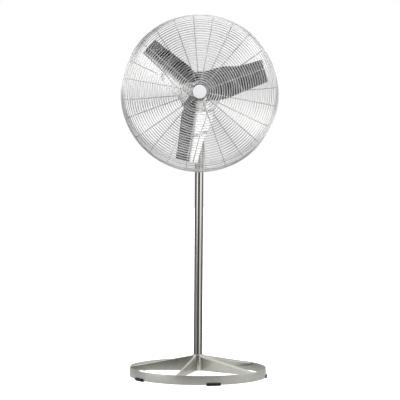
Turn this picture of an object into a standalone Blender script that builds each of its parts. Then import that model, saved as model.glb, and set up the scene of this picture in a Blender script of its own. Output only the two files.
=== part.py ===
"""Industrial pedestal fan: welded band base, tube pole, swivel and tilt head,
three wide blades in a round wire guard.

Frame: metres, +Z up, origin on the floor under the pole's axis.
The fan blows along -Y, and +X is to the right of someone facing it.
"""

import math
from math import radians, sin, cos, pi, sqrt, tan

import bmesh
import bpy
from mathutils import Matrix, Vector

# ---------------------------------------------------------------- dimensions
GAP = 0.0003            # running and seating gap between separate pieces

# base
FOOT_T = 0.0040         # rubber under the ring
RING_R = 0.3810         # outside of the base band (762 mm across)
RING_T = 0.0040         # band thickness
RING_H = 0.0500         # band height
RING_Z0 = FOOT_T + GAP
RING_Z1 = RING_Z0 + RING_H
ARM_FIRST_DEG = -35.0   # first arm, seen from above, anticlockwise from +X
ARM_COUNT = 5
ARM_T = 0.0045          # web thickness
ARM_FLANGE = 0.0200     # folded top flange
ARM_FLANGE_DROP = radians(40.0)
ARM_Z0 = 0.0330         # lower edge, level
ARM_TOP_IN = 0.1190     # upper edge at the pole
SOCKET_R = 0.03075
SOCKET_BORE = 0.02450
SOCKET_TOP = 0.1220
SOCKET_FLOOR = 0.0040
PAD_DEGS = (-146.6, -77.0, -3.8, 68.0, 140.0)   # fitted by hand, roughly evenly spaced
PAD_LEN_DEG = 11.6      # length of a pad along the band
PAD_UP = 0.0115         # how far a pad climbs the outside of the band
PAD_OUT = 0.0060

# pole
POLE_R = 0.02415        # 48.3 mm tube
POLE_WALL = 0.0030
POLE_TOP = 1.3850

# swivel fitting and tilt joint
SLEEVE_R = 0.0320
SLEEVE_Z0 = 1.3350
SLEEVE_CAP = 1.3930
TILT_Z = 1.4400
TONGUE_HALF = 0.0100    # half thickness of the tongue along X
TONGUE_W = 0.0170       # half width along Y
BOLT_R = 0.0060

# motor
HEAD_Z = 1.5690         # motor and blade axis
MOTOR_R = 0.0825
MOTOR_WALL = 0.0045
MOTOR_Y0, MOTOR_Y1 = -0.0950, 0.0650
BELL_Y0, BELL_Y1 = -0.1160, 0.0860
SHAFT_R = 0.0090

# blades
BLADE_DIRS = (18.3, 138.3, 258.3)   # seen from the front, anticlockwise from +X
BLADE_Y = -0.2000
BLADE_T = 0.0024
PITCH_ROOT = radians(25.5)
PITCH_TIP = radians(22.5)
TIP_R = 0.3760
HUB_CIRCLE = 0.0460
CAMBER = 0.0100

# guard
GUARD_R = 0.4300        # outside of the rim wire (860 mm across)
WIRE = 0.0050
FRONT_Y = -0.3280       # middle of the front guard
FACE_R = 0.3450         # edge of the flat face
FACE_DOME = 0.0100
REAR_Y = -0.1190
RIM_FRONT_Y = -0.2042
RIM_REAR_Y = -0.1958
SPOKES = 12
BADGE_R = 0.0386

# ---------------------------------------------------------------- clean start
for old in list(bpy.data.objects):
    bpy.data.objects.remove(old, do_unlink=True)


# ---------------------------------------------------------------- materials
def material(name, color, rough, metal):
    mat = bpy.data.materials.new(name)
    mat.use_nodes = True
    bsdf = mat.node_tree.nodes["Principled BSDF"]
    bsdf.inputs["Base Color"].default_value = (*color, 1.0)
    bsdf.inputs["Roughness"].default_value = rough
    bsdf.inputs["Metallic"].default_value = metal
    mat.diffuse_color = (*color, 1.0)
    return mat


STEEL = ("satin_steel", (0.50, 0.50, 0.48), 0.34, 1.0)
BRIGHT = ("polished_steel", (0.66, 0.66, 0.66), 0.12, 1.0)
WIRE_M = ("guard_wire", (0.56, 0.56, 0.57), 0.28, 1.0)
BLADE_M = ("blade_metal", (0.62, 0.62, 0.63), 0.16, 1.0)
RUBBER = ("rubber", (0.012, 0.012, 0.012), 0.75, 0.0)
PLASTIC = ("black_plastic", (0.02, 0.02, 0.022), 0.45, 0.0)
PAINT = ("motor_paint", (0.30, 0.31, 0.32), 0.42, 0.2)
IRON = ("lamination", (0.16, 0.15, 0.15), 0.60, 0.8)
BADGE_M = ("badge", (0.82, 0.82, 0.84), 0.25, 0.9)


# ---------------------------------------------------------------- helpers
def empty(name, place, parent=None):
    ob = bpy.data.objects.new(name, None)
    ob.empty_display_size = 0.05
    base = Vector(parent["at"]) if parent else Vector((0, 0, 0))
    ob["at"] = place
    ob.location = Vector(place) - base
    ob.parent = parent
    bpy.context.scene.collection.objects.link(ob)
    return ob


def finish(name, bm, mat, parent=None, angle=34.0, smooth=True):
    """Turn a bmesh in world metres into an object whose origin is its parent's."""
    at = Vector(parent["at"]) if parent else Vector((0, 0, 0))
    bmesh.ops.translate(bm, verts=bm.verts, vec=-at)
    bmesh.ops.recalc_face_normals(bm, faces=bm.faces)
    mesh = bpy.data.meshes.new(name)
    bm.to_mesh(mesh)
    bm.free()
    if smooth:
        mesh.shade_smooth()
        mesh.set_sharp_from_angle(angle=radians(angle))
    ob = bpy.data.objects.new(name, mesh)
    ob.data.materials.append(material(name + "_" + mat[0], *mat[1:]))
    ob.parent = parent
    bpy.context.scene.collection.objects.link(ob)
    return ob


def cutter(name, bm, target, solver="EXACT"):
    """Subtract a closed shape in world metres from an object."""
    parent = target.parent
    at = Vector(parent["at"]) if parent else Vector((0, 0, 0))
    bmesh.ops.translate(bm, verts=bm.verts, vec=-at)
    bmesh.ops.recalc_face_normals(bm, faces=bm.faces)
    mesh = bpy.data.meshes.new(name)
    bm.to_mesh(mesh)
    bm.free()
    ob = bpy.data.objects.new(name, mesh)
    ob.parent = parent
    ob.hide_render = True
    ob.display_type = "WIRE"
    bpy.context.scene.collection.objects.link(ob)
    mod = target.modifiers.new(name, "BOOLEAN")
    mod.operation = "DIFFERENCE"
    mod.solver = solver
    mod.object = ob
    return ob


def axis_frame(axis, centre):
    """Place (r cos a, r sin a, h) about an axis through a centre."""
    c = Vector(centre)
    if axis == "Z":
        return lambda x, y, h: c + Vector((x, y, h))
    if axis == "Y":
        return lambda x, y, h: c + Vector((x, h, y))
    return lambda x, y, h: c + Vector((h, x, y))


def turned(bm, profile, axis="Z", centre=(0, 0, 0), seg=24, phase=0.0):
    """Revolve a profile of (radius, height) points about an axis.

    A profile that starts and ends on the axis closes there, and any other
    profile is a loop that closes on itself.
    """
    put = axis_frame(axis, centre)
    rows = []
    for r, h in profile:
        if r < 1e-9:
            rows.append([bm.verts.new(put(0, 0, h))])
        else:
            rows.append([bm.verts.new(put(r * cos(phase + 2 * pi * i / seg),
                                          r * sin(phase + 2 * pi * i / seg), h))
                         for i in range(seg)])
    loop = profile[0][0] > 1e-9 and profile[-1][0] > 1e-9
    pairs = list(zip(rows, rows[1:]))
    if loop:
        pairs.append((rows[-1], rows[0]))
    for a, b in pairs:
        for i in range(seg):
            j = (i + 1) % seg
            if len(a) == 1 and len(b) == 1:
                continue
            if len(a) == 1:
                bm.faces.new((a[0], b[i], b[j]))
            elif len(b) == 1:
                bm.faces.new((a[i], b[0], a[j]))
            else:
                bm.faces.new((a[i], b[i], b[j], a[j]))
    return bm


def ring_profile(r_in, r_out, h0, h1, bevel=0.0):
    b = bevel
    if b <= 0:
        return [(r_in, h0), (r_out, h0), (r_out, h1), (r_in, h1)]
    return [(r_in, h0), (r_out - b, h0), (r_out, h0 + b),
            (r_out, h1 - b), (r_out - b, h1), (r_in, h1)]


def prism(bm, outline, lo, hi, axis="Z", centre=(0, 0, 0)):
    """Extrude a flat outline between two heights along an axis."""
    put = axis_frame(axis, centre)
    bottom = [bm.verts.new(put(a, b, lo)) for a, b in outline]
    top = [bm.verts.new(put(a, b, hi)) for a, b in outline]
    n = len(outline)
    bm.faces.new(bottom[::-1])
    bm.faces.new(top)
    for i in range(n):
        j = (i + 1) % n
        bm.faces.new((bottom[i], bottom[j], top[j], top[i]))
    return bm


def rounded_rect(ax, ay, bx, by, r, n=3):
    pts = []
    for cx, cy, a0 in ((bx - r, by - r, 0), (ax + r, by - r, 90),
                       (ax + r, ay + r, 180), (bx - r, ay + r, 270)):
        for i in range(n + 1):
            a = radians(a0 + 90.0 * i / n)
            pts.append((cx + r * cos(a), cy + r * sin(a)))
    return pts


def loft(bm, first, last):
    a = [bm.verts.new(p) for p in first]
    b = [bm.verts.new(p) for p in last]
    n = len(a)
    bm.faces.new(a[::-1])
    bm.faces.new(b)
    for i in range(n):
        j = (i + 1) % n
        bm.faces.new((a[i], a[j], b[j], b[i]))
    return bm


# ---------------------------------------------------------------- joint axes
AX_SWIVEL = empty("axis_swivel", (0.0, 0.0, SLEEVE_Z0))
AX_TILT = empty("axis_tilt", (0.0, 0.0, TILT_Z), AX_SWIVEL)
AX_PROP = empty("axis_propeller", (0.0, BLADE_Y, HEAD_Z), AX_TILT)
KNOB_Z = 1.3620
AX_SWIVEL_KNOB = empty("axis_swivel_knob", (0.0, SLEEVE_R, KNOB_Z), AX_SWIVEL)
AX_TILT_KNOB = empty("axis_tilt_knob", (0.0300, 0.0, TILT_Z), AX_TILT)
SWITCH_X, SWITCH_Z = 0.0190, HEAD_Z + 0.1060
AX_SWITCH = empty("axis_speed_knob", (SWITCH_X, 0.0500, SWITCH_Z), AX_TILT)

# ---------------------------------------------------------------- base
bm = turned(bmesh.new(), ring_profile(RING_R - RING_T, RING_R, RING_Z0, RING_Z1), seg=72)
finish("base_ring", bm, STEEL)

bm = turned(bmesh.new(), [
    (0.0, ARM_Z0), (SOCKET_R, ARM_Z0), (SOCKET_R, SOCKET_TOP - 0.0030),
    (SOCKET_R - 0.0030, SOCKET_TOP), (SOCKET_BORE, SOCKET_TOP),
    (SOCKET_BORE, ARM_Z0 + SOCKET_FLOOR), (0.0, ARM_Z0 + SOCKET_FLOOR)], seg=36)
socket = finish("base_socket", bm, STEEL)

LOCK_DEG = ARM_FIRST_DEG + 1.5 * 360.0 / ARM_COUNT   # midway between two arms
LOCK_Z = 0.0780
turn_lock = Matrix.Rotation(radians(LOCK_DEG), 4, "Z")
bm = turned(bmesh.new(), [(0.0, 0.0200), (0.0053, 0.0200), (0.0053, 0.0400), (0.0, 0.0400)],
            axis="X", centre=(0, 0, LOCK_Z), seg=12)
bmesh.ops.transform(bm, matrix=turn_lock, verts=bm.verts)
cutter("cut_socket_lock", bm, socket)
bm = turned(bmesh.new(), [
    (0.0, POLE_R + GAP), (0.0050, POLE_R + GAP), (0.0050, SOCKET_R + 0.0030),
    (0.0085, SOCKET_R + 0.0030), (0.0085, SOCKET_R + 0.0100), (0.0, SOCKET_R + 0.0100)],
    axis="X", centre=(0, 0, LOCK_Z), seg=12)
bmesh.ops.transform(bm, matrix=turn_lock, verts=bm.verts)
finish("pole_lock_bolt", bm, BRIGHT, angle=25.0)

ARM_R0 = SOCKET_R + GAP
ARM_R1 = (RING_R - RING_T) * cos(pi / 72) - GAP   # the band is drawn with 72 sides


def arm_section(radius, top):
    """Web with a folded top flange on its clockwise side, at one radius."""
    h = ARM_T / 2
    fy = -h - ARM_FLANGE * cos(ARM_FLANGE_DROP)
    fz = top - ARM_FLANGE * sin(ARM_FLANGE_DROP)
    t = ARM_T * 0.75
    pts = [(h, ARM_Z0), (h, top), (-h, top), (fy, fz), (fy, fz - t), (-h, top - t),
           (-h, ARM_Z0)]
    return [Vector((radius, y, z)) for y, z in pts]


for k in range(ARM_COUNT):
    deg = ARM_FIRST_DEG + 360.0 / ARM_COUNT * k
    end_top = RING_Z1 - 0.0006
    bm = loft(bmesh.new(), arm_section(ARM_R0 + 0.0045, ARM_TOP_IN), arm_section(ARM_R1, end_top))
    # the inner end is cut square at the socket, the outer end follows the round band
    for v in bm.verts:
        v.co.x = ARM_R0 if v.co.x < 0.2 else sqrt(ARM_R1 * ARM_R1 - v.co.y * v.co.y)
    bmesh.ops.triangulate(bm, faces=[f for f in bm.faces if len(f.verts) > 4])
    bmesh.ops.rotate(bm, verts=bm.verts, cent=(0, 0, 0), matrix=Matrix.Rotation(radians(deg), 3, "Z"))
    finish("base_arm_%d" % (k + 1), bm, STEEL, smooth=False)

# rubber pads hooked under the band
ri, ro = RING_R - RING_T, RING_R
pad_section = [(ri - GAP - PAD_OUT, 0.0), (ro + GAP + PAD_OUT, 0.0),
               (ro + GAP + PAD_OUT, RING_Z0 + PAD_UP), (ro + GAP, RING_Z0 + PAD_UP),
               (ro + GAP, FOOT_T), (ri - GAP, FOOT_T),
               (ri - GAP, RING_Z0 + PAD_UP * 0.7), (ri - GAP - PAD_OUT, RING_Z0 + PAD_UP * 0.7)]
# a pad's inner and outer faces run on a slightly wider gap, so the many-sided
# band never touches them
for k, mid in enumerate(PAD_DEGS):
    bm = bmesh.new()
    rows = []
    n = 6
    for i in range(n + 1):
        a = radians(mid + PAD_LEN_DEG * (i / n - 0.5))
        row = []
        for r, z in pad_section:
            rr = r + (0.0002 if r > ro else -0.0006)
            row.append(bm.verts.new((rr * cos(a), rr * sin(a), z)))
        rows.append(row)
    for a, b in zip(rows, rows[1:]):
        for i in range(8):
            j = (i + 1) % 8
            bm.faces.new((a[i], a[j], b[j], b[i]))
    bm.faces.new(rows[0][::-1])
    bm.faces.new(rows[-1])
    finish("rubber_pad_%d" % (k + 1), bm, RUBBER, angle=30.0)

# ---------------------------------------------------------------- pole
bm = turned(bmesh.new(), ring_profile(POLE_R - POLE_WALL, POLE_R,
                                      ARM_Z0 + SOCKET_FLOOR + GAP, POLE_TOP), seg=36)
finish("pole_tube", bm, BRIGHT)

# ---------------------------------------------------------------- swivel
bm = bmesh.new()
bore = POLE_R + GAP
turned(bm, [(0.0, POLE_TOP + GAP), (bore, POLE_TOP + GAP), (bore, SLEEVE_Z0),
            (SLEEVE_R, SLEEVE_Z0), (SLEEVE_R, SLEEVE_CAP - 0.0060),
            (SLEEVE_R - 0.0060, SLEEVE_CAP), (0.0, SLEEVE_CAP)], seg=36)
sleeve = finish("swivel_fitting", bm, STEEL, AX_SWIVEL)
# tongue that the head hangs on, rounded about the tilt axis
tongue = [(-TONGUE_W, SLEEVE_CAP - 0.0040 - TILT_Z), (TONGUE_W, SLEEVE_CAP - 0.0040 - TILT_Z)]
tongue += [(TONGUE_W * cos(a), TONGUE_W * sin(a)) for a in
           [radians(180.0 * i / 12) for i in range(13)]]
bm = prism(bmesh.new(), tongue, -TONGUE_HALF, TONGUE_HALF, axis="X", centre=(0, 0, TILT_Z))
add = cutter("join_tongue", bm, sleeve)
sleeve.modifiers["join_tongue"].operation = "UNION"
bm = turned(bmesh.new(), [(0.0, -0.03), (BOLT_R + GAP, -0.03), (BOLT_R + GAP, 0.03), (0.0, 0.03)],
            axis="X", centre=(0, 0, TILT_Z), seg=16)
cutter("cut_tongue_bore", bm, sleeve)
bm = turned(bmesh.new(), [(0.0, 0.015), (0.0046, 0.015), (0.0046, 0.05), (0.0, 0.05)],
            axis="Y", centre=(0, 0, KNOB_Z), seg=12)
cutter("cut_knob_bore", bm, sleeve)


def lobed_knob(bm, r_in, r_out, h0, h1, lobes, axis, centre, stem_r, stem_h):
    """Hand knob with rounded lobes and a screw running back from it."""
    put = axis_frame(axis, centre)
    n = lobes * 6
    mid = (r_in + r_out) / 2
    amp = (r_out - r_in) / 2
    levels = [(stem_h, None), (h0, None), (h0, 0.86), (h0 + (h1 - h0) * 0.2, 1.0),
              (h0 + (h1 - h0) * 0.75, 1.0), (h1, 0.84)]
    rows = []
    for h, k in levels:
        row = []
        for i in range(n):
            a = 2 * pi * i / n
            r = stem_r if k is None else k * (mid + amp * cos(lobes * a))
            row.append(bm.verts.new(put(r * cos(a), r * sin(a), h)))
        rows.append(row)
    for a, b in zip(rows, rows[1:]):
        for i in range(n):
            j = (i + 1) % n
            bm.faces.new((a[i], b[i], b[j], a[j]))
    bm.faces.new(rows[0])
    bm.faces.new(rows[-1][::-1])
    return bm


bm = lobed_knob(bmesh.new(), 0.0150, 0.0200, SLEEVE_R + 0.0060, SLEEVE_R + 0.0240, 5, "Y",
                (0, 0, KNOB_Z), 0.0042, POLE_R + GAP)
finish("swivel_lock_knob", bm, PLASTIC, AX_SWIVEL_KNOB, angle=40.0)

# ---------------------------------------------------------------- tilt joint
EAR_T = 0.0060
EAR_X0 = TONGUE_HALF + GAP
EAR_X1 = EAR_X0 + EAR_T
WASHER_T = 0.0020
bm = turned(bmesh.new(), [
    (0.0, -(EAR_X1 + WASHER_T + 2 * GAP) - 0.0080), (0.0105, -(EAR_X1 + WASHER_T + 2 * GAP) - 0.0080),
    (0.0105, -(EAR_X1 + WASHER_T + 2 * GAP)), (BOLT_R, -(EAR_X1 + WASHER_T + 2 * GAP)),
    (BOLT_R, 0.0340), (0.0, 0.0340)], axis="X", centre=(0, 0, TILT_Z), seg=18)
finish("tilt_bolt", bm, BRIGHT, AX_TILT, angle=25.0)
for side, name in ((-1, "tilt_washer_left"), (1, "tilt_washer_right")):
    h0 = side * (EAR_X1 + GAP)
    h1 = side * (EAR_X1 + GAP + WASHER_T)
    bm = turned(bmesh.new(), ring_profile(BOLT_R + GAP, 0.0130, min(h0, h1), max(h0, h1)),
                axis="X", centre=(0, 0, TILT_Z), seg=18)
    finish(name, bm, BRIGHT, AX_TILT)

# clamping knob: a lobed grip with a blind bore that runs on the bolt
KN0 = EAR_X1 + WASHER_T + 2 * GAP
bm = bmesh.new()
put = axis_frame("X", (0, 0, TILT_Z))
n = 24
rows = []
for h, r0, amp in ((KN0 + 0.0220, BOLT_R + GAP, 0), (KN0, BOLT_R + GAP, 0), (KN0, 0.0120, 0),
                   (KN0 + 0.0060, 0.0120, 0), (KN0 + 0.0080, 0.0215, 0.0030),
                   (KN0 + 0.0240, 0.0225, 0.0035), (KN0 + 0.0270, 0.0190, 0.0030)):
    rows.append([bm.verts.new(put((r0 + amp * cos(4 * 2 * pi * i / n)) * cos(2 * pi * i / n),
                                  (r0 + amp * cos(4 * 2 * pi * i / n)) * sin(2 * pi * i / n), h))
                 for i in range(n)])
for a, b in zip(rows, rows[1:]):
    for i in range(n):
        j = (i + 1) % n
        bm.faces.new((a[i], b[i], b[j], a[j]))
bm.faces.new(rows[0])
bm.faces.new(rows[-1][::-1])
finish("tilt_knob", bm, PLASTIC, AX_TILT_KNOB, angle=40.0)

# motor cradle: a saddle under the motor with two ears astride the tongue
SAD_R = MOTOR_R + GAP + 0.0002
SAD_T = 0.0060
half = radians(38.0)
steps = 12
inner = [(SAD_R * sin(-half + 2 * half * i / steps), HEAD_Z - SAD_R * cos(-half + 2 * half * i / steps))
         for i in range(steps + 1)]
ro_ = SAD_R + SAD_T


def on_saddle(x):
    return HEAD_Z - sqrt(ro_ * ro_ - x * x)


outer = []
for i in range(steps + 1):
    a = half - 2 * half * i / steps
    outer.append((ro_ * sin(a), HEAD_Z - ro_ * cos(a)))
outer = [p for p in outer if abs(p[0]) > EAR_X1 + 0.002]
right = [p for p in outer if p[0] > 0]
left = [p for p in outer if p[0] < 0]
EAR_Z0 = TILT_Z - 0.0220
legs = [(EAR_X1, on_saddle(EAR_X1)), (EAR_X1, EAR_Z0), (EAR_X0, EAR_Z0), (EAR_X0, on_saddle(EAR_X0)),
        (-EAR_X0, on_saddle(EAR_X0)), (-EAR_X0, EAR_Z0), (-EAR_X1, EAR_Z0), (-EAR_X1, on_saddle(EAR_X1))]
outline = inner + right + legs + left
bm = prism(bmesh.new(), outline, -0.0220, 0.0220, axis="Y")
bmesh.ops.triangulate(bm, faces=[f for f in bm.faces if len(f.verts) > 4])
cradle = finish("motor_cradle", bm, STEEL, AX_TILT, smooth=False)
bm = turned(bmesh.new(), [(0.0, -0.03), (BOLT_R + GAP, -0.03), (BOLT_R + GAP, 0.03), (0.0, 0.03)],
            axis="X", centre=(0, 0, TILT_Z), seg=16)
cutter("cut_ear_bores", bm, cradle)

# ---------------------------------------------------------------- motor
HC = (0.0, 0.0, HEAD_Z)
bm = turned(bmesh.new(), ring_profile(MOTOR_R - MOTOR_WALL, MOTOR_R, MOTOR_Y0, MOTOR_Y1),
            axis="Y", centre=HC, seg=36)
finish("motor_housing", bm, PAINT, AX_TILT)

BR_R = 0.0200           # bearing outside
TIE_R = 0.0715          # circle of the tie bolts
SCREW_R = 0.0580        # circle of the guard screws
bm = turned(bmesh.new(), [
    (0.0098, BELL_Y0), (0.0770, BELL_Y0), (MOTOR_R, BELL_Y0 + 0.0055), (MOTOR_R, MOTOR_Y0 - GAP),
    (0.0770, MOTOR_Y0 - GAP), (0.0770, BELL_Y0 + 0.0085), (0.0280, BELL_Y0 + 0.0085),
    (0.0280, MOTOR_Y0 - GAP), (BR_R + GAP, MOTOR_Y0 - GAP), (BR_R + GAP, BELL_Y0 + 0.0075),
    (0.0098, BELL_Y0 + 0.0075)], axis="Y", centre=HC, seg=30)
front_bell = finish("motor_front_bell", bm, PAINT, AX_TILT)
bm = turned(bmesh.new(), [
    (0.0, BELL_Y1), (0.0760, BELL_Y1), (MOTOR_R, BELL_Y1 - 0.0065), (MOTOR_R, MOTOR_Y1 + GAP),
    (0.0770, MOTOR_Y1 + GAP), (0.0770, BELL_Y1 - 0.0085), (0.0280, BELL_Y1 - 0.0085),
    (0.0280, MOTOR_Y1 + GAP), (BR_R + GAP, MOTOR_Y1 + GAP), (BR_R + GAP, BELL_Y1 - 0.0075),
    (0.0, BELL_Y1 - 0.0075)], axis="Y", centre=HC, seg=30)
rear_bell = finish("motor_rear_bell", bm, PAINT, AX_TILT)


def around(radius, deg0, count):
    for k in range(count):
        a = radians(deg0 + 360.0 / count * k)
        yield (radius * cos(a), 0.0, HEAD_Z + radius * sin(a))


def pegs(places, r, y0, y1, seg=10):
    bm = bmesh.new()
    for c in places:
        turned(bm, [(0.0, y0), (r, y0), (r, y1), (0.0, y1)], axis="Y", centre=c, seg=seg)
    return bm


cutter("cut_front_tie", pegs(around(TIE_R, 45, 4), 0.0029, -0.14, -0.09), front_bell)
cutter("cut_front_screw", pegs(around(SCREW_R, 0, 4), 0.0029, -0.14, -0.09), front_bell)
cutter("cut_rear_tie", pegs(around(TIE_R, 45, 4), 0.0029, 0.06, 0.10), rear_bell)

for k, c in enumerate(around(TIE_R, 45, 4)):
    bm = turned(bmesh.new(), [
        (0.0, BELL_Y0 + 0.0002 - 0.0004), (0.0025, BELL_Y0 - 0.0002), (0.0025, BELL_Y1 + GAP),
        (0.0055, BELL_Y1 + GAP), (0.0055, BELL_Y1 + 0.0050), (0.0, BELL_Y1 + 0.0050)],
        axis="Y", centre=c, seg=10)
    finish("tie_bolt_%d" % (k + 1), bm, BRIGHT, AX_TILT, angle=25.0)

# stator with clearance notches for the tie bolts
ST_R, ST_IN = 0.0777, 0.0450
ST_Y0, ST_Y1 = -0.0600, 0.0320
m = 48
bm = bmesh.new()
put = axis_frame("Y", HC)


def stator_r(i):
    a = (360.0 * i / m) % 90.0
    return 0.0675 if abs(a - 45.0) < 8.0 else ST_R


grid = []
for r_of, h in ((lambda i: ST_IN, ST_Y0), (stator_r, ST_Y0), (stator_r, ST_Y1), (lambda i: ST_IN, ST_Y1)):
    grid.append([bm.verts.new(put(r_of(i) * cos(2 * pi * i / m), r_of(i) * sin(2 * pi * i / m), h))
                 for i in range(m)])
for a, b in zip(grid, grid[1:] + grid[:1]):
    for i in range(m):
        j = (i + 1) % m
        bm.faces.new((a[i], b[i], b[j], a[j]))
finish("motor_stator", bm, IRON, AX_TILT, smooth=False)

for name, y0, y1 in (("bearing_front", BELL_Y0 + 0.0078, MOTOR_Y0 - GAP - 0.0005),
                     ("bearing_rear", MOTOR_Y1 + GAP + 0.0005, BELL_Y1 - 0.0078)):
    bm = turned(bmesh.new(), ring_profile(SHAFT_R + GAP, BR_R, y0, y1, 0.0008),
                axis="Y", centre=HC, seg=24)
    finish(name, bm, BRIGHT, AX_TILT)

# ---------------------------------------------------------------- switch box
BOX_HALF = 0.0400
BOX_Y0, BOX_Y1 = -0.0450, 0.0500
BOX_TOP = HEAD_Z + 0.1220
bm = prism(bmesh.new(), rounded_rect(-BOX_HALF, BOX_Y0, BOX_HALF, BOX_Y1, 0.006, 2),
           HEAD_Z + 0.0660, BOX_TOP)
box = finish("switch_box", bm, PAINT, AX_TILT, angle=40.0)
bm = turned(bmesh.new(), [(0.0, -0.2), (MOTOR_R + 0.0006, -0.2), (MOTOR_R + 0.0006, 0.2), (0.0, 0.2)],
            axis="Y", centre=HC, seg=36)
cutter("cut_box_saddle", bm, box)
bm = prism(bmesh.new(), rounded_rect(-BOX_HALF + 0.003, BOX_Y0 + 0.003, BOX_HALF - 0.003,
                                     BOX_Y1 - 0.003, 0.004, 2), HEAD_Z + 0.0870, BOX_TOP + 0.02)
cutter("cut_box_inside", bm, box)
GLAND_X = -0.0190
bm = bmesh.new()
for x, r in ((SWITCH_X, 0.0036), (GLAND_X, 0.0083)):
    turned(bm, [(0.0, 0.04), (r, 0.04), (r, 0.06), (0.0, 0.06)], axis="Y",
           centre=(x, 0.0, SWITCH_Z), seg=12)
cutter("cut_box_holes", bm, box)
bm = prism(bmesh.new(), rounded_rect(-BOX_HALF - 0.001, BOX_Y0 - 0.001, BOX_HALF + 0.001,
                                     BOX_Y1 + 0.001, 0.007, 2), BOX_TOP + GAP, BOX_TOP + 0.0030)
finish("switch_box_lid", bm, PAINT, AX_TILT, angle=40.0)

bm = turned(bmesh.new(), ring_profile(0.0, 0.0140, -0.0300, 0.0150, 0.001)[1:5] and [
    (0.0, -0.0350), (0.0130, -0.0350), (0.0140, -0.0340), (0.0140, 0.0080), (0.0, 0.0080)],
    axis="Y", centre=(-0.0180, 0.0, HEAD_Z + 0.1035), seg=16)
finish("run_capacitor", bm, PLASTIC, AX_TILT)
bm = prism(bmesh.new(), rounded_rect(SWITCH_X - 0.0130, HEAD_Z + 0.0905, SWITCH_X + 0.0130,
                                     HEAD_Z + 0.1195, 0.002, 1), 0.0180, BOX_Y1 - 0.003 - GAP, axis="Y")
finish("speed_switch", bm, PLASTIC, AX_TILT, smooth=False)

# rotary speed knob on the back of the box, stem through the wall
bm = bmesh.new()
put = axis_frame("Y", (SWITCH_X, 0.0, SWITCH_Z))
n = 20
rows = []
for h, r in ((BOX_Y1 - 0.0028, 0.0032), (BOX_Y1 + 0.0006, 0.0032), (BOX_Y1 + 0.0006, 0.0140),
             (BOX_Y1 + 0.0050, 0.0145), (BOX_Y1 + 0.0070, 0.0120), (BOX_Y1 + 0.0170, 0.0110)):
    rows.append([bm.verts.new(put(r * cos(2 * pi * i / n), r * sin(2 * pi * i / n), h))
                 for i in range(n)])
for a, b in zip(rows, rows[1:]):
    for i in range(n):
        j = (i + 1) % n
        bm.faces.new((a[i], b[i], b[j], a[j]))
bm.faces.new(rows[0])
bm.faces.new(rows[-1][::-1])
finish("speed_knob", bm, PLASTIC, AX_SWITCH, angle=30.0)

bm = turned(bmesh.new(), [
    (0.0045, BOX_Y1 - 0.0080), (0.0080, BOX_Y1 - 0.0080), (0.0080, BOX_Y1 + GAP),
    (0.0105, BOX_Y1 + GAP), (0.0105, BOX_Y1 + 0.0060), (0.0085, BOX_Y1 + 0.0065),
    (0.0075, BOX_Y1 + 0.0180), (0.0045, BOX_Y1 + 0.0180)],
    axis="Y", centre=(GLAND_X, 0.0, SWITCH_Z), seg=16)
finish("cable_gland", bm, PLASTIC, AX_TILT, angle=30.0)

# ---------------------------------------------------------------- propeller
bm = turned(bmesh.new(), [(0.0, -0.2155), (SHAFT_R - 0.001, -0.2155), (SHAFT_R, -0.2145),
                          (SHAFT_R, BELL_Y1 - 0.0085), (0.0, BELL_Y1 - 0.0085)],
            axis="Y", centre=HC, seg=24)
finish("motor_shaft", bm, BRIGHT, AX_PROP)
bm = turned(bmesh.new(), ring_profile(SHAFT_R + GAP, 0.0445, -0.0560, 0.0280, 0.002),
            axis="Y", centre=HC, seg=24)
finish("motor_rotor", bm, IRON, AX_PROP)
bm = turned(bmesh.new(), [
    (SHAFT_R + GAP, -0.1680), (0.0190, -0.1680), (0.0200, -0.1690), (0.0200, -0.1930),
    (0.0225, -0.1950), (0.0225, -0.2026), (0.0155, -0.2026), (0.0155, -0.2165),
    (SHAFT_R + GAP, -0.2165)], axis="Y", centre=HC, seg=24)
hub = finish("propeller_hub", bm, STEEL, AX_PROP)
bm = turned(bmesh.new(), [(0.0, 0.004), (0.0033, 0.004), (0.0033, 0.03), (0.0, 0.03)],
            axis="Z", centre=(0, -0.1800, HEAD_Z), seg=10)
cutter("cut_hub_screw", bm, hub)
bm = turned(bmesh.new(), [(0.0, SHAFT_R + GAP), (0.0030, SHAFT_R + GAP), (0.0030, 0.0215), (0.0, 0.0215)],
            axis="Z", centre=(0, -0.1800, HEAD_Z), seg=10)
finish("hub_set_screw", bm, BRIGHT, AX_PROP)


def pitch(u):
    t = min(max((u - 0.050) / (TIP_R - 0.050), 0.0), 1.0)
    return PITCH_ROOT + (PITCH_TIP - PITCH_ROOT) * t


def blade_surface(u, v):
    """Depth of the blade's middle surface, u along the blade, v across it."""
    x = (v - 0.012) / 0.085
    return BLADE_Y - v * tan(pitch(u)) + CAMBER * (1.0 - x * x)


# planform, millimetres along the blade and across it
LEADING = ((44, -55), (76, -63), (109, -70), (142, -72), (196, -67), (251, -63), (305, -58), (376, -54))
TRAILING = ((376, 68), (305, 69), (251, 73), (218, 79), (196, 86), (175, 93), (142, 98), (109, 99),
            (76, 98), (44, 104), (19, 117))
ROOT = ((24, 98), (27, 71), (32, 52))


def blade_outline():
    pts = [(u / 1000.0, v / 1000.0) for u, v in LEADING + TRAILING + ROOT]
    # hub circle from the lobe round to the leading corner
    for deg in (44, 28, 12, -4, -16):
        pts.append((HUB_CIRCLE * cos(radians(deg)), HUB_CIRCLE * sin(radians(deg))))
    return pts


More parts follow.
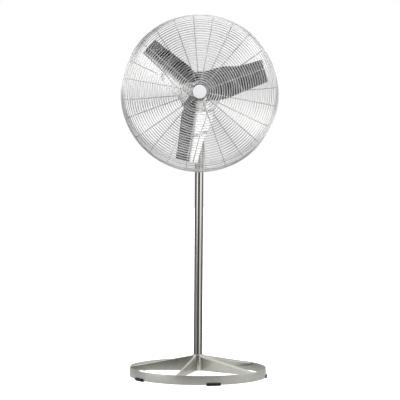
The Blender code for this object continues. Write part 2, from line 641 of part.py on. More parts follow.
def sheet(outline, depth, thickness, frame, us, vs):
    """Closed sheet of even thickness over a flat outline, following depth(u, v)."""
    bm = bmesh.new()
    bm.faces.new([bm.verts.new((u, v, 0.0)) for u, v in outline])
    for co, no, stations in (((1, 0, 0), (1, 0, 0), us), ((0, 1, 0), (0, 1, 0), vs)):
        for s in stations:
            bmesh.ops.bisect_plane(bm, geom=bm.verts[:] + bm.edges[:] + bm.faces[:], dist=1e-5,
                                   plane_co=Vector(co) * s, plane_no=Vector(no))
    front = list(bm.faces)
    top = {}
    for v in list(bm.verts):
        top[v] = bm.verts.new(v.co)
    edges = [e for e in bm.edges if len(e.link_faces) == 1]
    for f in front:
        bm.faces.new([top[v] for v in f.verts][::-1])
    for e in edges:
        a, b = e.verts
        bm.faces.new((a, b, top[b], top[a]))
    backs = set(top.values())
    for v in bm.verts:
        u, w = v.co.x, v.co.y
        y = depth(u, w) + (thickness / 2 if v in backs else -thickness / 2)
        v.co = frame(u, w, y)
    bmesh.ops.triangulate(bm, faces=[f for f in bm.faces if len(f.verts) > 3])
    return bm


def fan_frame(deg):
    c, s = cos(radians(deg)), sin(radians(deg))
    return lambda u, v, y: Vector((u * c - v * s, y, HEAD_Z + u * s + v * c))


for k, deg in enumerate(BLADE_DIRS):
    bm = sheet(blade_outline(), blade_surface, BLADE_T, fan_frame(deg),
               [0.06 + 0.045 * i for i in range(7)], [-0.045, -0.015, 0.015, 0.045, 0.075])
    finish("blade_%d" % (k + 1), bm, BLADE_M, AX_PROP, angle=60.0)

# spider: a plate on the hub whose three arms lie on the front of the blades
SPIDER_T = 0.0040
SPIDER_SEAT = 0.0014    # clears the flat facets of the twisted sheets
ARM_V0, ARM_V1, ARM_U = 0.0, 0.0440, 0.0960
FLAT_R, FULL_R = 0.0310, 0.0420
SPIDER_FLAT = -0.2026 - GAP - SPIDER_T / 2
outline = []
for k in range(3):
    a0 = radians(BLADE_DIRS[0] + 120.0 * k)
    rad = (ARM_V1 - ARM_V0) / 2
    mid_v = (ARM_V1 + ARM_V0) / 2
    pts = [(0.034, ARM_V0), (0.050, ARM_V0)]
    pts += [(ARM_U - rad + rad * cos(radians(t)), mid_v + rad * sin(radians(t)))
            for t in range(-90, 91, 30)]
    pts += [(0.050, ARM_V1), (0.026, ARM_V1)]
    for u, v in pts:
        outline.append((u * cos(a0) - v * sin(a0), u * sin(a0) + v * cos(a0)))


def spider_depth(x, z):
    r = sqrt(x * x + z * z)
    best = None
    for k in range(3):
        a0 = radians(BLADE_DIRS[0] + 120.0 * k)
        u = x * cos(a0) + z * sin(a0)
        v = -x * sin(a0) + z * cos(a0)
        if u > 0 and -0.001 < v < ARM_V1 + 0.001 and r > FLAT_R:
            best = blade_surface(u, v) - BLADE_T / 2 - SPIDER_SEAT - SPIDER_T / 2
    if best is None:
        return SPIDER_FLAT
    t = min(max((r - FLAT_R) / (FULL_R - FLAT_R), 0.0), 1.0)
    return SPIDER_FLAT + (best - SPIDER_FLAT) * t


bm = sheet(outline, spider_depth, SPIDER_T, lambda u, v, y: Vector((u, y, HEAD_Z + v)),
           [-0.099 + 0.009 * i for i in range(23)], [-0.099 + 0.009 * i for i in range(23)])
spider = finish("blade_spider", bm, STEEL, AX_PROP, angle=60.0)
bm = turned(bmesh.new(), [(0.0, -0.30), (0.0158, -0.30), (0.0158, -0.15), (0.0, -0.15)],
            axis="Y", centre=HC, seg=24)
cutter("cut_spider_bore", bm, spider)

# ---------------------------------------------------------------- guard
RIM_C = GUARD_R - WIRE / 2


def guard_point(r, front):
    """Depth of a guard wire at a radius, face then rounded shoulder."""
    rim = RIM_FRONT_Y if front else RIM_REAR_Y
    if front:
        face = FRONT_Y + FACE_DOME * min(r / FACE_R, 1.0) ** 2
    else:
        face = REAR_Y
    if r <= FACE_R:
        return face
    s = min((r - FACE_R) / (RIM_C - FACE_R), 1.0)
    return face + (rim - face) * (1.0 - sqrt(max(1.0 - s * s, 0.0)))


def lattice(name, radii, first_deg, segments, front, parent):
    """Welded wire dish: rings joined by straight spokes, one closed body."""
    bm = bmesh.new()
    per = segments // SPOKES
    rows = []
    for r in radii:
        y = guard_point(r, front)
        rows.append([bm.verts.new((r * cos(radians(first_deg + 360.0 * i / segments)), y,
                                   HEAD_Z + r * sin(radians(first_deg + 360.0 * i / segments))))
                     for i in range(segments)])
    for a, b in zip(rows, rows[1:]):
        for k in range(SPOKES):
            ids = [(k * per + j) % segments for j in range(per + 1)]
            bm.faces.new([a[i] for i in ids] + [b[i] for i in reversed(ids)])
    ob = finish(name, bm, WIRE_M, parent, angle=50.0)
    mod = ob.modifiers.new("wires", "WIREFRAME")
    mod.thickness = WIRE
    mod.offset = 0.0
    mod.use_boundary = True
    mod.use_replace = True
    mod.use_even_offset = True
    return ob


SHOULDER = [FACE_R + (RIM_C - FACE_R) * sin(radians(a)) for a in (48, 90)]
front_radii = [0.0340, 0.0860, 0.1380, 0.1900, 0.2420, 0.2940, FACE_R] + SHOULDER
rear_radii = [0.1130, 0.1595, 0.2060, 0.2525, 0.2990, FACE_R] + SHOULDER
lattice("front_guard", front_radii, 20.0, 36, True, AX_TILT)
lattice("rear_guard", rear_radii, 5.0, 36, False, AX_TILT)

# plate that carries the rear guard on the front of the motor, and its screws
PLATE_Y0, PLATE_Y1 = BELL_Y0 - 0.0005 - 0.0030, BELL_Y0 - 0.0005
bm = turned(bmesh.new(), ring_profile(0.0240, 0.1090, PLATE_Y0, PLATE_Y1), axis="Y", centre=HC, seg=36)
plate = finish("guard_plate", bm, STEEL, AX_TILT)
cutter("cut_plate_screw", pegs(around(SCREW_R, 0, 4), 0.0029, -0.14, -0.10), plate)
for k, c in enumerate(around(SCREW_R, 0, 4)):
    bm = turned(bmesh.new(), [
        (0.0, PLATE_Y0 - 0.0038), (0.0045, PLATE_Y0 - 0.0038), (0.0050, PLATE_Y0 - GAP),
        (0.0025, PLATE_Y0 - GAP), (0.0025, BELL_Y0 + 0.0070), (0.0, BELL_Y0 + 0.0070)],
        axis="Y", centre=c, seg=10)
    finish("guard_screw_%d" % (k + 1), bm, BRIGHT, AX_TILT, angle=25.0)

# spring clips that hold the two guard rims together
CLIP_DEGS = (45.0, 135.0, 225.0, 315.0)
for k, deg in enumerate(CLIP_DEGS):
    hy0, hy1 = RIM_FRONT_Y - WIRE / 2 - 0.0008, RIM_REAR_Y + WIRE / 2 + 0.0008
    r_lip, r_in, r_out = GUARD_R - 0.0110, GUARD_R - 0.0140, GUARD_R - 0.0158
    sec = [(r_out, hy0 - 0.0018), (GUARD_R - 0.0002, hy0 - 0.0018), (GUARD_R - 0.0002, hy0),
           (r_in, hy0), (r_in, hy1), (GUARD_R - 0.0002, hy1), (GUARD_R - 0.0002, hy1 + 0.0018),
           (r_out, hy1 + 0.0018)]
    bm = bmesh.new()
    c, s = cos(radians(deg)), sin(radians(deg))
    ends = []
    for w in (-0.0080, 0.0080):
        ends.append([bm.verts.new((r * c - w * s, y, HEAD_Z + r * s + w * c)) for r, y in sec])
    # each end is the two legs and the back of the channel
    for a, b, c_, d in ((0, 1, 2, 3), (3, 4, 7, 0), (4, 5, 6, 7)):
        bm.faces.new((ends[0][d], ends[0][c_], ends[0][b], ends[0][a]))
        bm.faces.new((ends[1][a], ends[1][b], ends[1][c_], ends[1][d]))
    for i in range(len(sec)):
        j = (i + 1) % len(sec)
        bm.faces.new((ends[0][i], ends[0][j], ends[1][j], ends[1][i]))
    finish("guard_clip_%d" % (k + 1), bm, STEEL, AX_TILT, smooth=False)

# plain round badge in the middle of the front guard and the disc behind it
bm = turned(bmesh.new(), [
    (0.0, FRONT_Y - 0.0062), (0.0300, FRONT_Y - 0.0058), (BADGE_R - 0.0015, FRONT_Y - 0.0048),
    (BADGE_R, FRONT_Y - 0.0030 - GAP), (0.0, FRONT_Y - 0.0030 - GAP)],
    axis="Y", centre=HC, seg=36)
finish("badge_disc", bm, BADGE_M, AX_TILT)
bm = turned(bmesh.new(), [
    (0.0, FRONT_Y + 0.0030 + GAP), (0.0300, FRONT_Y + 0.0030 + GAP), (0.0300, FRONT_Y + 0.0050),
    (0.0, FRONT_Y + 0.0050)], axis="Y", centre=HC, seg=24)
finish("badge_backing", bm, STEEL, AX_TILT)
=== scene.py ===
"""Visual model of the pedestal fan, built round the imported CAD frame."""
import math
import random
from math import atan2, cos, pi, radians, sin, sqrt, tan

import bmesh
import bpy
import numpy as np
from mathutils import Euler, Matrix, Vector


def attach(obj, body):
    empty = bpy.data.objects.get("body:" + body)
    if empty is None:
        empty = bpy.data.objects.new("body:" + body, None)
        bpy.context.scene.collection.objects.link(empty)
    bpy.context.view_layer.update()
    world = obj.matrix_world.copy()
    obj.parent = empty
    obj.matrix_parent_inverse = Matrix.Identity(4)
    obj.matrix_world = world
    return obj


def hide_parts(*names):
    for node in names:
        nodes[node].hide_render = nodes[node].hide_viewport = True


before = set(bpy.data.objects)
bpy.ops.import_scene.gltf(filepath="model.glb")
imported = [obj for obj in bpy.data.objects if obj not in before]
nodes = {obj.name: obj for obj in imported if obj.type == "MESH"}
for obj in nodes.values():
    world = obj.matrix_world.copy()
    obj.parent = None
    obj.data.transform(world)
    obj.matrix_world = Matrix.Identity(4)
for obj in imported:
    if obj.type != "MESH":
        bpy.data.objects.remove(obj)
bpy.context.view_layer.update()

random.seed(7)
scene = bpy.context.scene

# ------------------------------------------------------------------ camera
cam_data = bpy.data.cameras.new("camera")
cam_data.sensor_width = 36.0
cam_data.lens = 129.1
cam_data.clip_start = 0.1
cam_data.clip_end = 200.0
cam = bpy.data.objects.new("camera", cam_data)
cam.location = (0.0048, -8.0, 1.112)
cam.rotation_euler = (radians(90.0 - 0.91), radians(-0.41), 0.0)
scene.collection.objects.link(cam)
scene.camera = cam
scene.view_settings.view_transform = "Standard"
scene.view_settings.look = "None"

# ------------------------------------------------------------------ shared sizes
HZ = 1.5690            # motor and blade axis
RING_R, RING_T = 0.3810, 0.0040
RING_Z0, RING_Z1 = 0.0043, 0.0543
FACE_R, RIM_C = 0.3450, 0.4270
FRONT_Y, DOME, REAR_Y = -0.3280, 0.0100, -0.1190
RIM_F, RIM_B = -0.2042, -0.1958
BLADE_Y = -0.2000
BLADE_DIRS = (18.3, 138.3, 258.3)


# ------------------------------------------------------------------ mesh tools
class Mesh:
    """Collects vertices and faces of one piece."""

    def __init__(self):
        self.v = []
        self.f = []

    def add(self, verts, faces):
        n = len(self.v)
        self.v.extend(tuple(p) for p in verts)
        self.f.extend(tuple(i + n for i in face) for face in faces)
        return self

    def obj(self, name, mat, body, replaces=(), angle=40.0, smooth=True, bevel=0.0,
            bevel_seg=2, bevel_angle=38.0):
        me = bpy.data.meshes.new(name)
        me.from_pydata(self.v, [], self.f)
        me.validate(clean_customdata=False)
        bm = bmesh.new()
        bm.from_mesh(me)
        bmesh.ops.recalc_face_normals(bm, faces=bm.faces)
        bm.to_mesh(me)
        bm.free()
        ob = bpy.data.objects.new(name, me)
        scene.collection.objects.link(ob)
        for m in (mat if isinstance(mat, (list, tuple)) else [mat]):
            me.materials.append(m)
        if smooth:
            me.shade_smooth()
            if angle < 179:
                me.set_sharp_from_angle(angle=radians(angle))
        if bevel > 0:
            mod = ob.modifiers.new("edge", "BEVEL")
            mod.width = bevel
            mod.segments = bevel_seg
            mod.limit_method = "ANGLE"
            mod.angle_limit = radians(bevel_angle)
            mod.harden_normals = False
        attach(ob, body)
        if replaces:
            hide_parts(*replaces)
        return ob


def place(axis, centre):
    c = Vector(centre)
    if axis == "Z":
        return lambda x, y, h: (c.x + x, c.y + y, c.z + h)
    if axis == "Y":
        return lambda x, y, h: (c.x + x, c.y + h, c.z + y)
    return lambda x, y, h: (c.x + h, c.y + x, c.z + y)


def lathe(mesh, profile, axis="Z", centre=(0, 0, 0), seg=96, wave=None):
    """Turn a (radius, height) profile; ends on the axis close, others loop."""
    put = place(axis, centre)
    verts, rows = [], []
    for r, h in profile:
        if r < 1e-9:
            rows.append([len(verts)])
            verts.append(put(0, 0, h))
        else:
            row = []
            for i in range(seg):
                a = 2 * pi * i / seg
                rr = r * (wave(a, h) if wave else 1.0)
                row.append(len(verts))
                verts.append(put(rr * cos(a), rr * sin(a), h))
            rows.append(row)
    loop = profile[0][0] > 1e-9 and profile[-1][0] > 1e-9
    faces = []
    for a, b in list(zip(rows, rows[1:])) + ([(rows[-1], rows[0])] if loop else []):
        for i in range(seg):
            j = (i + 1) % seg
            if len(a) == 1 and len(b) == 1:
                continue
            if len(a) == 1:
                faces.append((a[0], b[i], b[j]))
            elif len(b) == 1:
                faces.append((a[i], b[0], a[j]))
            else:
                faces.append((a[i], b[i], b[j], a[j]))
    mesh.add(verts, faces)
    return mesh


def soft(profile, r, n=4):
    """Round the corners of a closed (radius, height) profile by radius r."""
    out = []
    m = len(profile)
    for i in range(m):
        p0, p1, p2 = (Vector(profile[(i - 1) % m]), Vector(profile[i]), Vector(profile[(i + 1) % m]))
        a, b = (p0 - p1), (p2 - p1)
        la, lb = a.length, b.length
        if la < 1e-9 or lb < 1e-9 or p1.x < 1e-9:
            out.append(tuple(p1))
            continue
        cosang = max(-1, min(1, a.dot(b) / (la * lb)))
        if cosang < -0.985:
            out.append(tuple(p1))
            continue
        rr = min(r, la * 0.45, lb * 0.45)
        a, b = p1 + a / la * rr, p1 + b / lb * rr
        for k in range(n + 1):
            t = k / n
            q = a * (1 - t) ** 2 + p1 * 2 * t * (1 - t) + b * t * t
            out.append((q.x, q.y))
    return out


def torus(mesh, radius, wire, centre, seg=144, sides=8, flat=1.0):
    """Round wire ring in a plane across Y."""
    verts, faces = [], []
    for i in range(seg):
        a = 2 * pi * i / seg
        for j in range(sides):
            b = 2 * pi * j / sides
            r = radius + wire / 2 * cos(b) * flat
            verts.append((centre[0] + r * cos(a), centre[1] + wire / 2 * sin(b), centre[2] + r * sin(a)))
    for i in range(seg):
        k = (i + 1) % seg
        for j in range(sides):
            m = (j + 1) % sides
            faces.append((i * sides + j, k * sides + j, k * sides + m, i * sides + m))
    mesh.add(verts, faces)
    return mesh


def rod(mesh, path, wire, sides=8, closed=False, cap=True, taper=None):
    """Round bar along a path of points."""
    pts = [Vector(p) for p in path]
    n = len(pts)
    verts, faces = [], []
    ref = None
    for i, p in enumerate(pts):
        if closed:
            t = pts[(i + 1) % n] - pts[i - 1]
        else:
            t = pts[min(i + 1, n - 1)] - pts[max(i - 1, 0)]
        t.normalize()
        if ref is None:
            ref = Vector((0, 0, 1)) if abs(t.z) < 0.8 else Vector((0, 1, 0))
        s = (ref - t * ref.dot(t)).normalized()
        q = t.cross(s)
        ref = s
        w = wire / 2 * (taper(i / (n - 1)) if taper else 1.0)
        for j in range(sides):
            b = 2 * pi * j / sides
            verts.append(p + s * (w * cos(b)) + q * (w * sin(b)))
    m = n if closed else n - 1
    for i in range(m):
        k = (i + 1) % n
        for j in range(sides):
            l = (j + 1) % sides
            faces.append((i * sides + j, k * sides + j, k * sides + l, i * sides + l))
    if cap and not closed:
        faces.append(tuple(range(sides))[::-1])
        faces.append(tuple((n - 1) * sides + j for j in range(sides)))
    mesh.add(verts, faces)
    return mesh


def blob(mesh, centre, normal, r, h, rings=4, sides=12):
    """Domed head or weld spot standing on a point along a direction."""
    c, n = Vector(centre), Vector(normal).normalized()
    s = n.orthogonal().normalized()
    q = n.cross(s)
    verts, faces = [], []
    base = [c - n * (h * 0.35) + s * (r * cos(2 * pi * j / sides)) + q * (r * sin(2 * pi * j / sides))
            for j in range(sides)]
    verts += base
    for i in range(rings):
        a = (pi / 2) * i / rings
        for j in range(sides):
            b = 2 * pi * j / sides
            verts.append(c + n * (h * sin(a)) + (s * cos(b) + q * sin(b)) * (r * cos(a)))
    top = len(verts)
    verts.append(c + n * h)
    for i in range(rings):
        for j in range(sides):
            l = (j + 1) % sides
            faces.append((i * sides + j, i * sides + l, (i + 1) * sides + l, (i + 1) * sides + j))
    for j in range(sides):
        faces.append((rings * sides + j, rings * sides + (j + 1) % sides, top))
    faces.append(tuple(range(sides))[::-1])
    mesh.add(verts, faces)
    return mesh


def loft(mesh, sections, closed=False):
    """Skin between sections of equal point count, capped at the ends."""
    verts, faces = [], []
    n = len(sections[0])
    for s in sections:
        verts.extend(s)
    m = len(sections)
    for i in range(m if closed else m - 1):
        k = (i + 1) % m
        for j in range(n):
            l = (j + 1) % n
            faces.append((i * n + j, i * n + l, k * n + l, k * n + j))
    if not closed:
        faces.append(tuple(range(n))[::-1])
        faces.append(tuple((m - 1) * n + j for j in range(n)))
    mesh.add(verts, faces)
    return mesh


def prism(mesh, outline, lo, hi, axis="Z", centre=(0, 0, 0)):
    put = place(axis, centre)
    return loft(mesh, [[put(a, b, lo) for a, b in outline], [put(a, b, hi) for a, b in outline]])


def round_rect(ax, ay, bx, by, r, n=6):
    pts = []
    for cx, cy, a0 in ((bx - r, by - r, 0), (ax + r, by - r, 90), (ax + r, ay + r, 180), (bx - r, ay + r, 270)):
        for i in range(n + 1):
            a = radians(a0 + 90.0 * i / n)
            pts.append((cx + r * cos(a), cy + r * sin(a)))
    return pts


def hexagon(r, phase=0.0):
    return [(r * cos(phase + pi / 3 * i), r * sin(phase + pi / 3 * i)) for i in range(6)]


# ------------------------------------------------------------------ materials
def new_mat(name):
    m = bpy.data.materials.new(name)
    m.use_nodes = True
    nt = m.node_tree
    bsdf = nt.nodes["Principled BSDF"]
    return m, nt, bsdf


def node(nt, kind, **values):
    n = nt.nodes.new(kind)
    for k, v in values.items():
        if k in n.inputs:
            n.inputs[k].default_value = v
        else:
            setattr(n, k, v)
    return n


def link(nt, a, b):
    nt.links.new(a, b)


def math_node(nt, op, a, b=None, c=None, clamp=False):
    n = nt.nodes.new("ShaderNodeMath")
    n.operation = op
    n.use_clamp = clamp
    for i, x in enumerate((a, b, c)):
        if x is None:
            continue
        if hasattr(x, "links"):
            nt.links.new(x, n.inputs[i])
        else:
            n.inputs[i].default_value = x
    return n.outputs[0]


def remap(nt, value, f0, f1, t0, t1, smooth=False):
    n = nt.nodes.new("ShaderNodeMapRange")
    n.interpolation_type = "SMOOTHSTEP" if smooth else "LINEAR"
    n.clamp = True
    nt.links.new(value, n.inputs[0])
    for i, x in enumerate((f0, f1, t0, t1)):
        n.inputs[i + 1].default_value = x
    return n.outputs[0]


def ramp(nt, value, stops):
    n = nt.nodes.new("ShaderNodeValToRGB")
    el = n.color_ramp.elements
    while len(el) < len(stops):
        el.new(0.5)
    for e, (p, c) in zip(el, stops):
        e.position = p
        e.color = (*c, 1.0)
    nt.links.new(value, n.inputs[0])
    return n.outputs[0]


def coords(nt, mode="plain", rot=0.0, scale=(1, 1, 1)):
    """Object space, optionally turned about Y, or wrapped round an axis."""
    tc = nt.nodes.new("ShaderNodeTexCoord")
    src = tc.outputs["Object"]
    if mode == "plain":
        mp = nt.nodes.new("ShaderNodeMapping")
        mp.inputs["Rotation"].default_value = (0.0, rot, 0.0)
        nt.links.new(src, mp.inputs["Vector"])
        mp2 = nt.nodes.new("ShaderNodeMapping")
        mp2.inputs["Scale"].default_value = scale
        nt.links.new(mp.outputs[0], mp2.inputs["Vector"])
        return mp2.outputs[0]
    sep = nt.nodes.new("ShaderNodeSeparateXYZ")
    nt.links.new(src, sep.inputs[0])
    if mode == "round_z":
        a, b, h = sep.outputs[0], sep.outputs[1], sep.outputs[2]
    else:                                   # wrapped round the motor axis
        a, h = sep.outputs[0], sep.outputs[1]
        b = math_node(nt, "SUBTRACT", sep.outputs[2], HZ)
    ang = math_node(nt, "ARCTAN2", b, a)
    rad = math_node(nt, "SQRT", math_node(nt, "ADD", math_node(nt, "MULTIPLY", a, a),
                                          math_node(nt, "MULTIPLY", b, b)))
    comb = nt.nodes.new("ShaderNodeCombineXYZ")
    # the angle goes in as a circle so the grain has no seam
    nt.links.new(math_node(nt, "MULTIPLY", math_node(nt, "COSINE", ang), scale[0]), comb.inputs[0])
    nt.links.new(math_node(nt, "MULTIPLY", math_node(nt, "SINE", ang), scale[0]), comb.inputs[1])
    nt.links.new(math_node(nt, "ADD", math_node(nt, "MULTIPLY", h, scale[2]),
                           math_node(nt, "MULTIPLY", rad, scale[1])), comb.inputs[2])
    return comb.outputs[0]


def noise(nt, vec, scale=1.0, detail=4.0, rough=0.55, distortion=0.0):
    n = nt.nodes.new("ShaderNodeTexNoise")
    n.inputs["Scale"].default_value = scale
    n.inputs["Detail"].default_value = detail
    n.inputs["Roughness"].default_value = rough
    n.inputs["Distortion"].default_value = distortion
    nt.links.new(vec, n.inputs["Vector"])
    return n.outputs["Fac"]


def steel(name, tint=(0.60, 0.60, 0.59), rough=(0.16, 0.30), grain=None, grain_amp=0.05,
          mode="plain", rot=0.0, stain=0.10, fine_bump=0.02, wave_bump=0.0, dirt=(0.30, 0.28, 0.25)):
    """Worked metal: directional grain, soft stains, roughness that varies with both."""
    m, nt, b = new_mat(name)
    b.inputs["Metallic"].default_value = 1.0
    b.inputs["Specular IOR Level"].default_value = 0.5
    grain = grain or (4.0, 400.0, 400.0)
    g = noise(nt, coords(nt, mode, rot, grain), 1.0, 5.0, 0.65)
    soft_n = noise(nt, coords(nt, "plain", 0.0, (1, 1, 1)), 9.0, 5.0, 0.6)
    fine_n = noise(nt, coords(nt, "plain", 0.0, (1, 1, 1)), 160.0, 3.0, 0.6)
    dark = tuple(t * (1 - stain) * (0.85 + 0.15 * d / max(dirt)) for t, d in zip(tint, dirt))
    light = tuple(min(1.0, t * (1 + stain * 0.6)) for t in tint)
    col = ramp(nt, soft_n, [(0.28, dark), (0.52, tint), (0.80, light)])
    mix = nt.nodes.new("ShaderNodeMix")
    mix.data_type = "RGBA"
    mix.blend_type = "MULTIPLY"
    mix.inputs[0].default_value = 1.0
    nt.links.new(col, mix.inputs[6])
    gcol = ramp(nt, g, [(0.25, (1 - grain_amp * 2,) * 3), (0.55, (1 - grain_amp * 0.4,) * 3), (0.8, (1, 1, 1))])
    nt.links.new(gcol, mix.inputs[7])
    nt.links.new(mix.outputs[2], b.inputs["Base Color"])
    mixed = math_node(nt, "ADD", math_node(nt, "MULTIPLY", g, 0.5), math_node(nt, "MULTIPLY", soft_n, 0.5))
    nt.links.new(remap(nt, mixed, 0.30, 0.72, rough[0], rough[1]), b.inputs["Roughness"])
    height = math_node(nt, "ADD", math_node(nt, "MULTIPLY", g, 1.0), math_node(nt, "MULTIPLY", fine_n, 0.35))
    bump = nt.nodes.new("ShaderNodeBump")
    bump.inputs["Strength"].default_value = fine_bump
    bump.inputs["Distance"].default_value = 0.0006
    nt.links.new(height, bump.inputs["Height"])
    last = bump.outputs[0]
    if wave_bump > 0:
        slow = noise(nt, coords(nt, "plain", 0.0, (1, 1, 1)), 7.0, 2.0, 0.4)
        bump2 = nt.nodes.new("ShaderNodeBump")
        bump2.inputs["Strength"].default_value = wave_bump
        bump2.inputs["Distance"].default_value = 0.004
        nt.links.new(slow, bump2.inputs["Height"])
        nt.links.new(last, bump2.inputs["Normal"])
        last = bump2.outputs[0]
    nt.links.new(last, b.inputs["Normal"])
    return m


def coated(name, color, color2, rough=(0.35, 0.5), scale=60.0, bump=0.10, dist=0.0008, metallic=0.0,
           spec=0.5, coat=0.0, speck=None):
    """Painted, moulded or rubber skin with mottling, pores and uneven gloss."""
    m, nt, b = new_mat(name)
    b.inputs["Metallic"].default_value = metallic
    b.inputs["Specular IOR Level"].default_value = spec
    b.inputs["Coat Weight"].default_value = coat
    n1 = noise(nt, coords(nt), scale * 0.12, 5.0, 0.6)
    n2 = noise(nt, coords(nt), scale, 3.0, 0.55)
    n3 = noise(nt, coords(nt), scale * 9.0, 2.0, 0.5)
    stops = [(0.30, color2), (0.60, color)]
    if speck:
        stops.append((0.86, speck))
    mixn = math_node(nt, "ADD", math_node(nt, "MULTIPLY", n1, 0.65), math_node(nt, "MULTIPLY", n3, 0.35))
    nt.links.new(ramp(nt, mixn, stops), b.inputs["Base Color"])
    nt.links.new(remap(nt, n1, 0.3, 0.7, rough[0], rough[1]), b.inputs["Roughness"])
    h = math_node(nt, "ADD", math_node(nt, "MULTIPLY", n2, 0.6), math_node(nt, "MULTIPLY", n3, 0.4))
    bp = nt.nodes.new("ShaderNodeBump")
    bp.inputs["Strength"].default_value = bump
    bp.inputs["Distance"].default_value = dist
    nt.links.new(h, bp.inputs["Height"])
    nt.links.new(bp.outputs[0], b.inputs["Normal"])
    return m


M_RING = steel("m_band_steel", (0.44, 0.44, 0.415), (0.40, 0.52), (3.0, 900.0, 900.0), 0.07,
               mode="round_z", stain=0.14, fine_bump=0.05, wave_bump=0.015)
M_ARM = steel("m_arm_steel", (0.56, 0.56, 0.515), (0.28, 0.40), (500.0, 500.0, 60.0), 0.06,
              stain=0.18, fine_bump=0.04, wave_bump=0.02)
M_TUBE = steel("m_pole_steel", (0.64, 0.62, 0.59), (0.06, 0.13), (2.0, 0.0, 900.0), 0.05,
               mode="round_z", stain=0.06, fine_bump=0.015)
M_FIT = steel("m_fitting_steel", (0.60, 0.60, 0.585), (0.22, 0.36), (200.0, 200.0, 200.0), 0.06,
              stain=0.14, fine_bump=0.06)
M_WELD = steel("m_weld_bead", (0.42, 0.39, 0.35), (0.30, 0.50), (260.0, 260.0, 260.0), 0.12,
               stain=0.28, fine_bump=0.18, dirt=(0.30, 0.24, 0.17))
M_WIRE = steel("m_guard_wire", (0.90, 0.90, 0.905), (0.26, 0.38), (120.0, 120.0, 120.0), 0.06,
               stain=0.12, fine_bump=0.04)
M_RIB = steel("m_guard_rib", (0.66, 0.66, 0.665), (0.22, 0.34), (120.0, 120.0, 120.0), 0.06,
              stain=0.12, fine_bump=0.04)
M_BOLT = steel("m_zinc_bolt", (0.60, 0.60, 0.58), (0.18, 0.32), (300.0, 300.0, 300.0), 0.05,
               stain=0.16, fine_bump=0.04)
M_CAST = steel("m_motor_alloy", (0.36, 0.365, 0.37), (0.34, 0.50), (180.0, 180.0, 180.0), 0.08,
               stain=0.20, fine_bump=0.16)
M_CORE = steel("m_core_iron", (0.17, 0.16, 0.155), (0.45, 0.62), (40.0, 1600.0, 40.0), 0.16,
               stain=0.25, fine_bump=0.20)
M_PAINT = coated("m_motor_paint", (0.205, 0.21, 0.215), (0.165, 0.17, 0.175), (0.30, 0.44), 110.0, 0.18,
                 0.0006, 0.0, 0.5, 0.15, (0.25, 0.255, 0.26))
M_RUBBER = coated("m_rubber", (0.010, 0.010, 0.010), (0.006, 0.006, 0.006), (0.60, 0.82), 240.0, 0.25,
                  0.0008, 0.0, 0.25, 0.0, (0.030, 0.029, 0.027))
M_PLAST = coated("m_black_plastic", (0.018, 0.018, 0.019), (0.012, 0.012, 0.013), (0.34, 0.52), 420.0, 0.20,
                 0.0004, 0.0, 0.45)
M_BADGE = coated("m_badge_enamel", (0.61, 0.61, 0.63), (0.55, 0.555, 0.58), (0.16, 0.26), 50.0, 0.02,
                 0.0003, 0.0, 0.5, 0.5)
M_BADGE_RIM = steel("m_badge_rim", (0.20, 0.20, 0.205), (0.22, 0.34), (200.0, 200.0, 200.0), 0.05,
                    stain=0.12, fine_bump=0.03)
M_BLADE = [steel("m_blade_%d" % (k + 1), (0.52, 0.52, 0.525), (0.05, 0.11), (5.0, 1.0, 420.0), 0.04,
                 rot=radians(d), stain=0.05, fine_bump=0.008, wave_bump=0.015)
           for k, d in enumerate(BLADE_DIRS)]

# ------------------------------------------------------------------ base
SEG = 192
m = Mesh()
lathe(m, soft([(RING_R - RING_T, RING_Z0), (RING_R, RING_Z0), (RING_R, RING_Z1), (RING_R - RING_T, RING_Z1)],
              0.0011, 3), seg=SEG)
m.obj("band_ring", M_RING, "base", ["base_ring"], angle=60)

# butt weld of the rolled band, ground nearly flush, outside and inside
m = Mesh()
for deg in (-138.5, 41.5):
    for r, sgn in ((RING_R, 1), (RING_R - RING_T, -1)):
        rows = []
        for i in range(17):
            z = RING_Z0 + 0.0015 + (RING_Z1 - RING_Z0 - 0.003) * i / 16
            row = []
            for j in range(9):
                w = (j / 8 - 0.5) * 0.0050
                hgt = 0.00035 * (1 - (2 * (j / 8 - 0.5)) ** 2) * (1 + 0.25 * sin(i * 2.4)) - 0.00005
                rr = r + sgn * hgt - (0.0002 if sgn > 0 else 0.0)
                a = radians(deg) + w / r
                row.append((rr * cos(a), rr * sin(a), z))
            for j in range(9)[::-1]:
                w = (j / 8 - 0.5) * 0.0050
                a = radians(deg) + w / r
                rr = r - sgn * 0.0008
                row.append((rr * cos(a), rr * sin(a), z))
            rows.append(row)
        loft(m, rows)
m.obj("band_seam_weld", M_WELD, "base", angle=50)

SOCKET_R, SOCKET_TOP, ARM_Z0 = 0.03075, 0.1220, 0.0330
m = Mesh()
lathe(m, [(0.0, ARM_Z0)] + soft([(0.0245, ARM_Z0 + 0.004), (0.0249, ARM_Z0), (SOCKET_R, ARM_Z0),
                                 (SOCKET_R, SOCKET_TOP), (0.0245, SOCKET_TOP)], 0.0016, 3)[4:-4]
      + [(0.0245, SOCKET_TOP - 0.0006), (0.0245, ARM_Z0 + 0.004), (0.0, ARM_Z0 + 0.004)], seg=96)
m.obj("pole_socket", M_FIT, "base", ["base_socket"], angle=50)

ARM_T, FLANGE, DROP = 0.0045, 0.0200, radians(40.0)
BEND_R = 0.0040
ARM_IN, ARM_OUT = SOCKET_R + 0.0002, RING_R - RING_T - 0.0001


